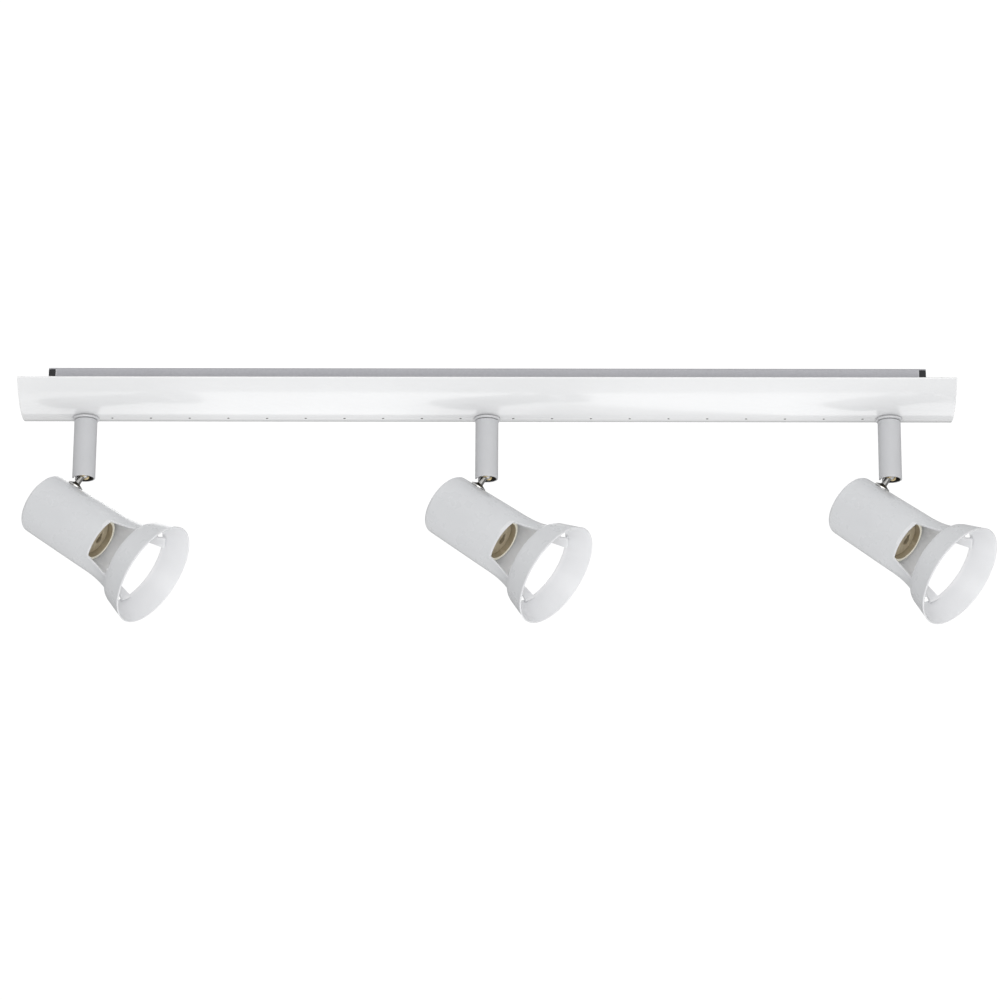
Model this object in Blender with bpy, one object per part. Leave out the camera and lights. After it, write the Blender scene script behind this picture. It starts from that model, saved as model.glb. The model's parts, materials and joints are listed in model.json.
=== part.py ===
"""Ceiling bar with three swivelling spotlights for two-pin reflector lamps.

The origin is the centre of the rail's upper face, which lies against the ceiling.  +X runs along the
bar, +Z points up into the ceiling, and everything hangs below z = 0.  Each head is built in its own
frame: the origin on the tilt pin, +X out of the lamp opening, +Y along the pin, +Z towards the stem.
"""

import math

import bmesh
import bpy
from mathutils import Matrix, Vector

# Driving dimensions, in metres and degrees.
GAP = 0.0003                 # left between pieces that touch

PLATE_LENGTH = 0.600
PLATE_RADIUS = 0.0404        # outer radius of the curved cover plate
PLATE_HALF_ANGLE = 54.3
PLATE_THICK = 0.0012
PLATE_FACETS = 23            # odd, so that the row of holes lies in the middle of a facet
PLATE_DROP = 0.0270          # ceiling to the plate's lowest line
PIN_HOLE_RADIUS = 0.0006     # the row of tiny holes along the plate's lowest line
PIN_HOLE_MARGIN = 0.0170     # from a stem's axis to the first hole
PIN_HOLES_PER_BAY = 10

RAIL_LENGTH = 0.5624
RAIL_WIDTH = 0.0440
RAIL_HEIGHT = 0.0170
RAIL_THICK = 0.0012
RAIL_WALL_SETBACK = 0.0044   # the side walls stop short of the web at each end
CABLE_ENTRY_X = 0.040
CABLE_ENTRY_RADIUS = 0.0080
GROMMET_BORE = 0.0050
GROMMET_LIP = 0.0016         # how far the grommet's rim reaches past the hole
FIXING_SLOT_X = 0.150
FIXING_SLOT_RADIUS = 0.0025  # half the slot's width
FIXING_SLOT_RUN = 0.0050     # half its straight length
PLUG_INSERT = 0.0110         # how deep an end plug sits in the rail

SMALL_SCREW = (0.0015, 0.0027, 0.0019)   # shank radius, head radius, head height
EARTH_SCREW = (0.0018, 0.0036, 0.0024)
SMALL_SCREW_HOLE = 0.0018
EARTH_SCREW_HOLE = 0.0021
EARTH_SCREW_X = 0.085

BRACKET_SCREW_Z = -0.0110
BRACKET_THICK = 0.0012
BRACKET_HALF_WIDTH = 0.0060
BRACKET_FOOT = 0.0125
BRACKET_TOP = -0.0045

TERMINAL_X = -0.052
TERMINAL_SIZE = (0.032, 0.018, 0.0110)
TERMINAL_WAY_Y = 0.0058      # the two ways that the cores enter
TERMINAL_WAY_DEPTH = 0.0060  # below the block's top
TERMINAL_WAY_RADIUS = 0.0020
LEAD_RADIUS = 0.0014

STEM_SPACING = 0.2588
STEM_RADIUS = 0.00738
STEM_BORE = 0.0062
STEM_LENGTH = 0.0409         # plate's lowest line to the stem's lower rim
SPIGOT_RADIUS = 0.0049
SPIGOT_BORE = 0.0034
COLLAR_RADIUS = 0.0086
COLLAR_THICK = 0.0012
SPIGOT_ABOVE_PLATE = 0.0072  # the threaded spigot's tip above the plate's lowest line
STEM_SHOULDER = 0.0025       # thickness of the tube's top, below its upper end
STEM_NUT_CORNERS = 0.0075    # centre to corner
STEM_NUT_HEIGHT = 0.0038
PIVOT_ABOVE_RIM = 0.0034

PIN_RADIUS = 0.00125
EYE_RADIUS = 0.0030
NECK_RADIUS = 0.0020
FLANGE_RADIUS = 0.0052
STUB_RADIUS = 0.0024
PIN_CLEARANCE = 0.0001
NECK_CLEARANCE = 0.00035     # each side of the neck in the tube's slot
THREAD_CLEARANCE = 0.00015   # between a nut and its thread
EAR_THICK = 0.0021
EAR_HALF_WIDTH = 0.0031
FORK_LENGTH = 0.0090
FORK_WIRE_WAY = 0.0026       # radius of the way for the leads, and its offset from the axis
FORK_WIRE_OFFSET = 0.0018
SWIVEL_NUT_CORNERS = 0.0046
SWIVEL_NUT_HEIGHT = 0.0021

HEAD_DROP = 0.0304           # tilt pin to the head's axis
HEAD_BACK = -0.0139          # the head's stations along +X, counted from the pin
HEAD_FRONT = 0.0820
HEAD_WALL = 0.0012
BODY_BACK_RADIUS = 0.0204
BODY_FRONT_RADIUS = 0.0213
BACK_ROUNDING = 0.0030
FLARE_START = 0.0361
FLARE_END = 0.0706
ARM_END = 0.0744
FLARE_RISE = 0.0080
FLARE_POWER = 2.6
WINDOW_START = 0.0455
WINDOW_HALF_HEIGHT = 0.0139
WINDOW_TAPER = 0.343         # growth of the half height for each metre forward

RING_BACK = 0.0648
RING_BACK_RADIUS = 0.0288
RING_FRONT_RADIUS = 0.03466
RING_WALL = 0.0010

SOCKET_BACK = 0.0131
SOCKET_FACE = 0.0364
SOCKET_RADIUS = 0.0146
SOCKET_RIM = 0.0015
SOCKET_RECESS = 0.0032
SOCKET_WAIST = 0.0012        # the block is this much thinner behind its collar
SOCKET_SCREW_Y = 0.0075
LAMP_PIN_OFFSET = 0.0050     # half the spacing of the two lamp pins
LAMP_PIN_ENTRY = 0.0026
LAMP_PIN_TAIL = 0.0013       # half the width of the slot's locking tail
LAMP_PIN_TURN = 55
LAMP_PIN_DEPTH = 0.0120

STRAP_THICK = 0.0012
STRAP_HALF_WIDTH = 0.0050
STRAP_WING = 0.0105
STRAP_LEAD_HOLE = 0.0028

# Each head's aim at rest: turn about the stem from +X, and tilt below the horizontal.
HEADS = {
    "left": (-STEM_SPACING, -14.8, 34.6),
    "middle": (0.0, -21.4, 36.1),
    "right": (STEM_SPACING, -28.5, 37.9),
}

PLATE_BOTTOM = -PLATE_DROP
STEM_TOP = PLATE_BOTTOM - 2 * GAP - COLLAR_THICK
STEM_RIM = PLATE_BOTTOM - STEM_LENGTH
PIVOT_Z = STEM_RIM + PIVOT_ABOVE_RIM
EAR_INSIDE = NECK_RADIUS + GAP
EAR_OUTSIDE = EAR_INSIDE + EAR_THICK
FORK_ROOT = PIVOT_Z + EYE_RADIUS + 0.0004
FORK_TOP = FORK_ROOT + FORK_LENGTH
RING_SLOPE = (RING_FRONT_RADIUS - RING_BACK_RADIUS) / (HEAD_FRONT - RING_BACK)
AXIS_POINT = (0, 0, -HEAD_DROP)
BODY_SURFACE = -HEAD_DROP + BODY_BACK_RADIUS + 0.0002
STRAP_REACH = BODY_BACK_RADIUS - HEAD_WALL - 0.0005
STRAP_TOP = -HEAD_DROP + math.sqrt(STRAP_REACH ** 2 - STRAP_HALF_WIDTH ** 2)
STRAP_FRONT = SOCKET_BACK - GAP
NUT_SEAT = STRAP_TOP - STRAP_THICK

FINISHES = {
    "white_gloss": ((0.90, 0.90, 0.91), 0.0, 0.18),
    "white_satin": ((0.74, 0.75, 0.76), 0.0, 0.38),
    "grey_rail": ((0.42, 0.42, 0.45), 0.3, 0.45),
    "black_plastic": ((0.02, 0.02, 0.025), 0.0, 0.5),
    "nickel": ((0.68, 0.67, 0.64), 1.0, 0.25),
    "zinc_steel": ((0.55, 0.56, 0.58), 1.0, 0.4),
    "brass": ((0.75, 0.58, 0.28), 1.0, 0.3),
    "ceramic": ((0.80, 0.77, 0.66), 0.0, 0.45),
    "cream_plastic": ((0.82, 0.80, 0.72), 0.0, 0.4),
    "lead_sleeve": ((0.78, 0.77, 0.72), 0.0, 0.6),
}


# Shapes: each returns a working object, which carved() turns into a mesh.

def working(bm):
    bmesh.ops.remove_doubles(bm, verts=bm.verts, dist=1e-7)
    bmesh.ops.recalc_face_normals(bm, faces=bm.faces)
    mesh = bpy.data.meshes.new("working")
    bm.to_mesh(mesh)
    bm.free()
    return working_copy(mesh)


def working_copy(mesh):
    obj = bpy.data.objects.new("working", mesh)
    bpy.context.scene.collection.objects.link(obj)
    return obj


def prism(outline, start, end, axis="X"):
    """A flat outline drawn across an axis and extruded along it: (y, z) for X, (x, z) for Y, (x, y) for Z."""
    place = {
        "X": lambda a, b: (start, a, b),
        "Y": lambda a, b: (a, start, b),
        "Z": lambda a, b: (a, b, start),
    }[axis]
    along = {"X": Vector((1, 0, 0)), "Y": Vector((0, 1, 0)), "Z": Vector((0, 0, 1))}[axis]
    bm = bmesh.new()
    face = bm.faces.new([bm.verts.new(place(a, b)) for a, b in outline])
    extruded = bmesh.ops.extrude_face_region(bm, geom=[face])["geom"]
    moved = [v for v in extruded if isinstance(v, bmesh.types.BMVert)]
    bmesh.ops.translate(bm, verts=moved, vec=along * (end - start))
    return working(bm)


def block(low, high):
    outline = ((low[1], low[2]), (high[1], low[2]), (high[1], high[2]), (low[1], high[2]))
    return prism(outline, low[0], high[0])


def turned(profile, segments, closed=True, axis="Z", centre=(0, 0, 0)):
    """A profile of (radius, station) points turned about an axis through centre."""
    bm = bmesh.new()
    verts = [bm.verts.new((radius, 0, station)) for radius, station in profile]
    pairs = list(zip(verts, verts[1:]))
    if closed:
        pairs.append((verts[-1], verts[0]))
    edges = [bm.edges.new(pair) for pair in pairs]
    bmesh.ops.spin(
        bm, geom=verts + edges, cent=(0, 0, 0), axis=(0, 0, 1), angle=2 * math.pi,
        steps=segments, use_merge=True,
    )
    turns = {"X": Matrix.Rotation(math.pi / 2, 4, "Y"), "Y": Matrix.Rotation(-math.pi / 2, 4, "X")}
    bmesh.ops.transform(bm, matrix=turns.get(axis, Matrix()), verts=bm.verts)
    bmesh.ops.translate(bm, verts=bm.verts, vec=centre)
    return working(bm)


def rod(radius, start, end, segments=12, axis="Z", centre=(0, 0, 0)):
    """A solid round bar between two stations on an axis through centre."""
    profile = ((0, start), (radius, start), (radius, end), (0, end))
    return turned(profile, segments, closed=False, axis=axis, centre=centre)


def arc(centre, radius, first, last, steps):
    """Points along an arc, in degrees."""
    angles = (math.radians(first + (last - first) * i / steps) for i in range(steps + 1))
    return [(centre[0] + radius * math.cos(a), centre[1] + radius * math.sin(a)) for a in angles]


def hexagon(across_corners, centre=(0, 0)):
    return arc(centre, across_corners, 0, 300, 5)


def carved(base, cutters=(), additions=()):
    """The mesh of the base joined with the additions and less the cutters."""
    helpers = [(piece, "UNION") for piece in additions] + [(piece, "DIFFERENCE") for piece in cutters]
    for piece, operation in helpers:
        boolean = base.modifiers.new(operation.lower(), "BOOLEAN")
        boolean.operation = operation
        boolean.object = piece
    graph = bpy.context.evaluated_depsgraph_get()
    mesh = bpy.data.meshes.new_from_object(base.evaluated_get(graph))
    for piece in [base] + [helper for helper, _ in helpers]:
        bpy.data.objects.remove(piece)
    mesh.shade_smooth()
    mesh.set_sharp_from_angle(angle=math.radians(35))
    return mesh


def smooth_path(points, steps=3):
    """Points along a smooth curve that passes through the given ones."""
    ends = [2 * points[0] - points[1], *points, 2 * points[-1] - points[-2]]
    path = []
    for before, here, there, after in zip(ends, ends[1:], ends[2:], ends[3:]):
        for i in range(steps):
            t = i / steps
            bend = 2 * before - 5 * here + 4 * there - after
            twist = 3 * here - before - 3 * there + after
            path.append(here + 0.5 * (t * (there - before) + t * t * bend + t ** 3 * twist))
    return path + [points[-1]]


# Objects

def finish(name):
    material = bpy.data.materials.get(name)
    if material is None:
        colour, metallic, roughness = FINISHES[name]
        material = bpy.data.materials.new(name)
        material.use_nodes = True
        shader = material.node_tree.nodes["Principled BSDF"]
        shader.inputs["Base Color"].default_value = (*colour, 1)
        shader.inputs["Metallic"].default_value = metallic
        shader.inputs["Roughness"].default_value = roughness
        material.diffuse_color = (*colour, 1)
    return material


def place(name, mesh, finish_name, parent=None):
    obj = bpy.data.objects.new(name, mesh)
    bpy.context.scene.collection.objects.link(obj)
    if not mesh.materials:
        mesh.materials.append(finish(finish_name))
    obj.parent = parent
    return obj


def lead(name, points, parent=None):
    """A sleeved lead, round, along a smooth curve through the points."""
    curve = bpy.data.curves.new(name, "CURVE")
    curve.dimensions = "3D"
    curve.bevel_depth = LEAD_RADIUS
    curve.bevel_resolution = 1
    curve.use_fill_caps = True
    path = smooth_path([Vector(point) for point in points])
    spline = curve.splines.new("POLY")
    spline.points.add(len(path) - 1)
    for point, position in zip(spline.points, path):
        point.co = (*position, 1)
    obj = bpy.data.objects.new(name, curve)
    curve.materials.append(finish("lead_sleeve"))
    bpy.context.scene.collection.objects.link(obj)
    obj.parent = parent
    return obj


def pan_screw(size, length, axis, centre, direction=1):
    """A pan-head screw: its head's underside is at centre and its shank runs along the axis."""
    shank, head, head_height = size
    outline = [
        (0, length), (shank, length), (shank, 0), (head, 0), (0.85 * head, -head_height), (0, -head_height),
    ]
    profile = [(radius, direction * station) for radius, station in outline]
    return carved(turned(profile, 12, closed=False, axis=axis, centre=centre))


# The bar

def rail_mesh():
    half = RAIL_WIDTH / 2
    inner = half - RAIL_THICK
    walls_end = RAIL_LENGTH / 2 - RAIL_WALL_SETBACK
    section = (
        (-half, 0), (-half, -RAIL_HEIGHT), (-inner, -RAIL_HEIGHT), (-inner, -RAIL_THICK),
        (inner, -RAIL_THICK), (inner, -RAIL_HEIGHT), (half, -RAIL_HEIGHT), (half, 0),
    )
    channel = prism(section, -RAIL_LENGTH / 2, RAIL_LENGTH / 2)
    below = -2 * RAIL_HEIGHT
    cutters = [rod(CABLE_ENTRY_RADIUS, -0.01, 0.01, 24, centre=(CABLE_ENTRY_X, 0, 0))]
    cutters.append(rod(EARTH_SCREW_HOLE, -0.01, 0.01, centre=(EARTH_SCREW_X, 0, 0)))
    cutters.append(rod(SMALL_SCREW_HOLE, -0.01, 0.01, centre=(TERMINAL_X, 0, 0)))
    for side in (-1, 1):
        ends = sorted((side * walls_end, side * RAIL_LENGTH))
        cutters.append(block((ends[0], -half - 0.01, below), (ends[1], half + 0.01, -RAIL_THICK)))
        middle = side * FIXING_SLOT_X
        slot = arc((middle + FIXING_SLOT_RUN, 0), FIXING_SLOT_RADIUS, -90, 90, 5)
        slot += arc((middle - FIXING_SLOT_RUN, 0), FIXING_SLOT_RADIUS, 90, 270, 5)
        cutters.append(prism(slot, -0.01, 0.01, "Z"))
    return carved(channel, cutters)


def plate_mesh():
    centre = (0, PLATE_BOTTOM + PLATE_RADIUS)
    low, high = 270 - PLATE_HALF_ANGLE, 270 + PLATE_HALF_ANGLE
    outer = arc(centre, PLATE_RADIUS, low, high, PLATE_FACETS)
    inner = arc(centre, PLATE_RADIUS - PLATE_THICK, high, low, PLATE_FACETS)
    sheet = prism(outer + inner, -PLATE_LENGTH / 2, PLATE_LENGTH / 2)
    cutters = []
    pitch = (STEM_SPACING - 2 * PIN_HOLE_MARGIN) / (PIN_HOLES_PER_BAY - 1)
    for side in (-1, 1):
        for i in range(PIN_HOLES_PER_BAY):
            x = side * (PIN_HOLE_MARGIN + i * pitch)
            cutters.append(rod(PIN_HOLE_RADIUS, -0.03, -0.02, 6, centre=(x, 0, 0)))
    for x, _, _ in HEADS.values():
        cutters.append(rod(SPIGOT_RADIUS + GAP, -0.03, -0.02, 20, centre=(x, 0, 0)))
    return carved(sheet, cutters)


def end_plug_mesh(side):
    top = -RAIL_THICK - GAP
    bottom = -RAIL_HEIGHT
    edge = RAIL_WIDTH / 2
    inner = edge - RAIL_THICK - GAP
    outside = RAIL_LENGTH / 2
    shoulder = outside - RAIL_WALL_SETBACK + GAP
    flange_x = sorted((side * shoulder, side * outside))
    insert_x = sorted((side * (shoulder - PLUG_INSERT), side * (shoulder + 0.001)))
    flange = block((flange_x[0], -edge, bottom), (flange_x[1], edge, top))
    insert = block((insert_x[0], -inner, bottom), (insert_x[1], inner, top))
    bore_x = sorted((side * (outside - 0.010), side * (outside + 0.005)))
    bore = rod(SMALL_SCREW_HOLE, *bore_x, axis="X", centre=(0, 0, BRACKET_SCREW_Z))
    return carved(flange, [bore], [insert])


def end_bracket_mesh(side):
    """A foot on the plate's inner face and an upright that stands against the end plug."""
    inside = RAIL_LENGTH / 2 + GAP
    foot_z = PLATE_BOTTOM + PLATE_THICK + 0.0006
    upright_x = sorted((side * inside, side * (inside + BRACKET_THICK)))
    foot_x = sorted((side * inside, side * (inside + BRACKET_FOOT)))
    half = BRACKET_HALF_WIDTH
    upright = block((upright_x[0], -half, foot_z), (upright_x[1], half, BRACKET_TOP))
    foot = block((foot_x[0], -half, foot_z), (foot_x[1], half, foot_z + BRACKET_THICK))
    hole_x = sorted((side * (inside - 0.005), side * (inside + 0.005)))
    hole = rod(SMALL_SCREW_HOLE, *hole_x, axis="X", centre=(0, 0, BRACKET_SCREW_Z))
    return carved(upright, [hole], [foot])


def bracket_screw_mesh(side):
    seat = RAIL_LENGTH / 2 + 2 * GAP + BRACKET_THICK
    return pan_screw(SMALL_SCREW, 0.009, "X", (side * seat, 0, BRACKET_SCREW_Z), direction=-side)


def terminal_block_mesh():
    top = -RAIL_THICK - GAP
    length, width, height = TERMINAL_SIZE
    body = block(
        (TERMINAL_X - length / 2, -width / 2, top - height), (TERMINAL_X + length / 2, width / 2, top),
    )
    cutters = [rod(SMALL_SCREW_HOLE, -0.03, 0, centre=(TERMINAL_X, 0, 0))]
    ends = (TERMINAL_X - length, TERMINAL_X + length)
    for side in (-1, 1):
        way = (0, side * TERMINAL_WAY_Y, top - TERMINAL_WAY_DEPTH)
        cutters.append(rod(TERMINAL_WAY_RADIUS, *ends, 8, axis="X", centre=way))
    return carved(body, cutters)


def terminal_screw_mesh():
    seat = -RAIL_THICK - 2 * GAP - TERMINAL_SIZE[2]
    return pan_screw(SMALL_SCREW, TERMINAL_SIZE[2] + 0.0008, "Z", (TERMINAL_X, 0, seat))


def earth_screw_mesh():
    return pan_screw(EARTH_SCREW, 0.0011, "Z", (EARTH_SCREW_X, 0, -RAIL_THICK - GAP))


def grommet_mesh():
    rim, groove = CABLE_ENTRY_RADIUS + GROMMET_LIP, CABLE_ENTRY_RADIUS - GAP
    top, under = -0.0002, -RAIL_THICK - GAP
    profile = (
        (GROMMET_BORE, top), (groove, top), (groove, under), (rim, under), (rim, -0.0030),
        (GROMMET_BORE, -0.0042),
    )
    return carved(turned(profile, 24, centre=(CABLE_ENTRY_X, 0, 0)))


# The stems

def collar_mesh():
    bottom, top = STEM_TOP + GAP, PLATE_BOTTOM - GAP
    bore = SPIGOT_RADIUS + GAP
    profile = (
        (bore, bottom), (COLLAR_RADIUS - 0.0003, bottom), (COLLAR_RADIUS, bottom + 0.0003),
        (COLLAR_RADIUS, top), (bore, top),
    )
    return carved(turned(profile, 24))


def stem_mesh():
    """The tube, with a narrower spigot on top and a slot low in its back for the swivel's neck."""
    shoulder = STEM_TOP - STEM_SHOULDER
    tip = PLATE_BOTTOM + SPIGOT_ABOVE_PLATE
    profile = (
        (STEM_RADIUS, STEM_RIM), (STEM_RADIUS, STEM_TOP), (SPIGOT_RADIUS, STEM_TOP), (SPIGOT_RADIUS, tip),
        (SPIGOT_BORE, tip), (SPIGOT_BORE, shoulder), (STEM_BORE, shoulder), (STEM_BORE, STEM_RIM),
    )
    tube = turned(profile, 28)
    half = NECK_RADIUS + NECK_CLEARANCE
    slot_outline = [(-half, STEM_RIM - 0.005), (half, STEM_RIM - 0.005)]
    slot_outline += arc((0, PIVOT_Z), half, 0, 180, 6)
    return carved(tube, [prism(slot_outline, -0.012, -0.002)])


def stem_nut_mesh():
    """The nut on the spigot, lifted so that its corners clear the plate's curve."""
    inner = PLATE_RADIUS - PLATE_THICK
    rise = inner - math.sqrt(inner ** 2 - STEM_NUT_CORNERS ** 2)
    under = PLATE_BOTTOM + PLATE_THICK + rise + GAP
    nut = prism(hexagon(STEM_NUT_CORNERS), under, under + STEM_NUT_HEIGHT, "Z")
    return carved(nut, [rod(SPIGOT_RADIUS + THREAD_CLEARANCE, -0.05, 0, 20)])


def fork_mesh():
    """A round plug fixed in the tube, with two ears that carry the pin."""
    plug = rod(STEM_BORE - GAP, FORK_ROOT, FORK_TOP, 16)
    ears = []
    for side in (-1, 1):
        outline = arc((0, PIVOT_Z), EAR_HALF_WIDTH, 180, 360, 6)
        outline += [(EAR_HALF_WIDTH, FORK_ROOT + 0.001), (-EAR_HALF_WIDTH, FORK_ROOT + 0.001)]
        ears.append(prism(outline, *sorted((side * EAR_INSIDE, side * EAR_OUTSIDE)), "Y"))
    hole = rod(PIN_RADIUS + PIN_CLEARANCE, -0.01, 0.01, axis="Y", centre=(0, 0, PIVOT_Z))
    ends = (FORK_ROOT - 0.001, FORK_TOP + 0.001)
    wire_way = rod(FORK_WIRE_WAY, *ends, centre=(FORK_WIRE_OFFSET, 0, 0))
    return carved(plug, [hole, wire_way], ears)


def pin_mesh():
    end = EAR_OUTSIDE + 0.0004
    return carved(rod(PIN_RADIUS, -end, end, axis="Y", centre=(0, 0, PIVOT_Z)))


# The heads, each in the frame of its tilt pin

def tongue_mesh():
    """Eye, stop heel, neck, flange and threaded stub of the swivel, in one piece."""
    flange_top = BODY_SURFACE + 0.0018
    profile = (
        (0, -0.0015), (NECK_RADIUS, -0.0015), (NECK_RADIUS, flange_top + 0.0008),
        (NECK_RADIUS + 0.0008, flange_top), (FLANGE_RADIUS - 0.0004, flange_top),
        (FLANGE_RADIUS, flange_top - 0.0004), (FLANGE_RADIUS, BODY_SURFACE - 0.0012),
        (0, BODY_SURFACE - 0.0012),
    )
    neck = turned(profile, 18, closed=False)
    saddle = rod(BODY_BACK_RADIUS + 0.0005, -0.02, 0.02, 40, axis="X", centre=AXIS_POINT)
    neck = working_copy(carved(neck, [saddle]))
    eye_half = NECK_RADIUS - 0.0001
    eye = rod(EYE_RADIUS, -eye_half, eye_half, 18, axis="Y")
    heel = block((0.0005, -0.0017, 0.0005), (0.0028, 0.0017, 0.0028))
    stub = rod(STUB_RADIUS, NUT_SEAT - 0.0030, BODY_SURFACE + 0.0012, 18)
    pin_hole = rod(PIN_RADIUS + PIN_CLEARANCE, -0.01, 0.01, axis="Y")
    return carved(neck, [pin_hole], [eye, heel, stub])


def tongue_nut_mesh():
    top = NUT_SEAT - GAP
    nut = prism(hexagon(SWIVEL_NUT_CORNERS), top - SWIVEL_NUT_HEIGHT, top, "Z")
    return carved(nut, [rod(STUB_RADIUS + THREAD_CLEARANCE, -0.05, 0, 18)])


def flare_radius(station):
    """The outer radius of the shell: a straight taper, then a flare into the arms."""
    share = (station - HEAD_BACK) / (FLARE_START - HEAD_BACK)
    if share <= 1:
        return BODY_BACK_RADIUS + share * (BODY_FRONT_RADIUS - BODY_BACK_RADIUS)
    reach = min(1, (station - FLARE_START) / (FLARE_END - FLARE_START))
    beyond = max(0, station - FLARE_END)
    return BODY_FRONT_RADIUS + FLARE_RISE * reach ** FLARE_POWER + RING_SLOPE * beyond


def shell_mesh():
    """The body: a cup with a rounded back, whose front runs out into two arms between two windows."""
    flare_steps = 5
    stations = [FLARE_START + (FLARE_END - FLARE_START) * i / flare_steps for i in range(flare_steps + 1)]
    stations.append(ARM_END)
    corner = (BODY_BACK_RADIUS - BACK_ROUNDING, HEAD_BACK + BACK_ROUNDING)
    outer = [(0, HEAD_BACK)] + arc(corner, BACK_ROUNDING, 270, 360, 3)
    outer += [(flare_radius(s), s) for s in stations]
    inner = [(flare_radius(s) - HEAD_WALL, s) for s in reversed(stations)]
    inner += arc(corner, BACK_ROUNDING - HEAD_WALL, 360, 270, 2)
    inner.append((0, HEAD_BACK + HEAD_WALL))
    cup = turned(outer + inner, 32, closed=False, axis="X", centre=AXIS_POINT)
    reach = ARM_END + 0.01
    wide = WINDOW_HALF_HEIGHT + WINDOW_TAPER * (reach - WINDOW_START)
    outline = (
        (WINDOW_START, -HEAD_DROP - WINDOW_HALF_HEIGHT), (reach, -HEAD_DROP - wide),
        (reach, -HEAD_DROP + wide), (WINDOW_START, -HEAD_DROP + WINDOW_HALF_HEIGHT),
    )
    windows = prism(outline, -0.06, 0.06, "Y")
    stub_hole = rod(STUB_RADIUS + GAP, -0.02, 0, 18)
    return carved(cup, [windows, stub_hole])


def ring_mesh():
    profile = (
        (RING_BACK_RADIUS - RING_WALL, RING_BACK), (RING_BACK_RADIUS, RING_BACK),
        (RING_FRONT_RADIUS, HEAD_FRONT), (RING_FRONT_RADIUS - RING_WALL, HEAD_FRONT),
    )
    return carved(turned(profile, 40, axis="X", centre=AXIS_POINT))


def bayonet_slot(side):
    """A round entry for a lamp pin's head, with a narrower curved tail where it locks."""
    entry = (side * LAMP_PIN_OFFSET, -HEAD_DROP)
    centre = (0, -HEAD_DROP)
    start = 0 if side > 0 else 180
    tail = arc(centre, LAMP_PIN_OFFSET + LAMP_PIN_TAIL, start, start + LAMP_PIN_TURN, 3)
    tail += arc(centre, LAMP_PIN_OFFSET - LAMP_PIN_TAIL, start + LAMP_PIN_TURN, start, 3)
    depth = (SOCKET_FACE - LAMP_PIN_DEPTH, SOCKET_FACE + 0.005)
    hole = rod(LAMP_PIN_ENTRY, *depth, axis="X", centre=(0, *entry))
    return [hole, prism(tail, *depth, "X")]


def socket_mesh():
    """The ceramic lampholder: a round block with a recessed face."""
    floor = SOCKET_FACE - SOCKET_RECESS
    inner = SOCKET_RADIUS - SOCKET_RIM
    waist = SOCKET_RADIUS - SOCKET_WAIST
    profile = (
        (0, SOCKET_BACK), (waist - 0.0018, SOCKET_BACK), (waist, SOCKET_BACK + 0.0018),
        (waist, SOCKET_FACE - 0.0075), (SOCKET_RADIUS, SOCKET_FACE - 0.0063),
        (SOCKET_RADIUS, SOCKET_FACE), (inner, SOCKET_FACE), (inner - 0.0006, floor), (0, floor),
    )
    round_block = turned(profile, 24, closed=False, axis="X", centre=AXIS_POINT)
    cutters = bayonet_slot(-1) + bayonet_slot(1)
    ends = (SOCKET_BACK - 0.001, SOCKET_BACK + 0.007)
    cutters += [socket_screw_hole(side, ends) for side in (-1, 1)]
    return carved(round_block, cutters)


def socket_screw_hole(side, ends):
    return rod(SMALL_SCREW_HOLE, *ends, 8, axis="X", centre=(0, side * SOCKET_SCREW_Y, -HEAD_DROP))


def strap_mesh():
    """A bent strap: one leg clamped under the swivel's nut, the other carries the lampholder."""
    half = STRAP_HALF_WIDTH
    back = STRAP_FRONT - STRAP_THICK
    upper = block((-0.0055, -half, NUT_SEAT), (STRAP_FRONT, half, STRAP_TOP))
    leg = block((back, -half, -HEAD_DROP - half), (STRAP_FRONT, half, STRAP_TOP))
    wings = block((back, -STRAP_WING, -HEAD_DROP - 0.0040), (STRAP_FRONT, STRAP_WING, -HEAD_DROP + 0.0040))
    ends = (back - 0.005, STRAP_FRONT + 0.005)
    cutters = [rod(STUB_RADIUS + GAP, -0.03, 0, 18)]
    cutters += [socket_screw_hole(side, ends) for side in (-1, 1)]
    cutters.append(rod(STRAP_LEAD_HOLE, *ends, axis="X", centre=AXIS_POINT))
    return carved(upper, cutters, [leg, wings])


def socket_screw_mesh(side):
    seat = STRAP_FRONT - STRAP_THICK - GAP
    return pan_screw(SMALL_SCREW, 0.0075, "X", (seat, side * SOCKET_SCREW_Y, -HEAD_DROP))


def socket_lead_points():
    """From the back of the lampholder, round the inside of the body and up beside the swivel's nut."""
    stations = (SOCKET_BACK - 0.0006, 0.0070, 0.0015, -0.0035, -0.0072, -0.0086)
    heights = (0, 0, 0.0010, 0.0045, 0.0095, 0.0150)
    return [(x, 0, -HEAD_DROP + z) for x, z in zip(stations, heights)]


# The whole

def build_bar():
    place("ceiling_rail", rail_mesh(), "grey_rail")
    place("cover_plate", plate_mesh(), "white_gloss")
    for name, side in (("left", -1), ("right", 1)):
        place(f"rail_end_plug_{name}", end_plug_mesh(side), "black_plastic")
        place(f"cover_end_bracket_{name}", end_bracket_mesh(side), "zinc_steel")
        place(f"cover_screw_{name}", bracket_screw_mesh(side), "zinc_steel")
    place("terminal_block", terminal_block_mesh(), "cream_plastic")
    place("terminal_screw", terminal_screw_mesh(), "zinc_steel")
    place("cable_grommet", grommet_mesh(), "black_plastic")
    place("earth_screw", earth_screw_mesh(), "brass")


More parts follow.
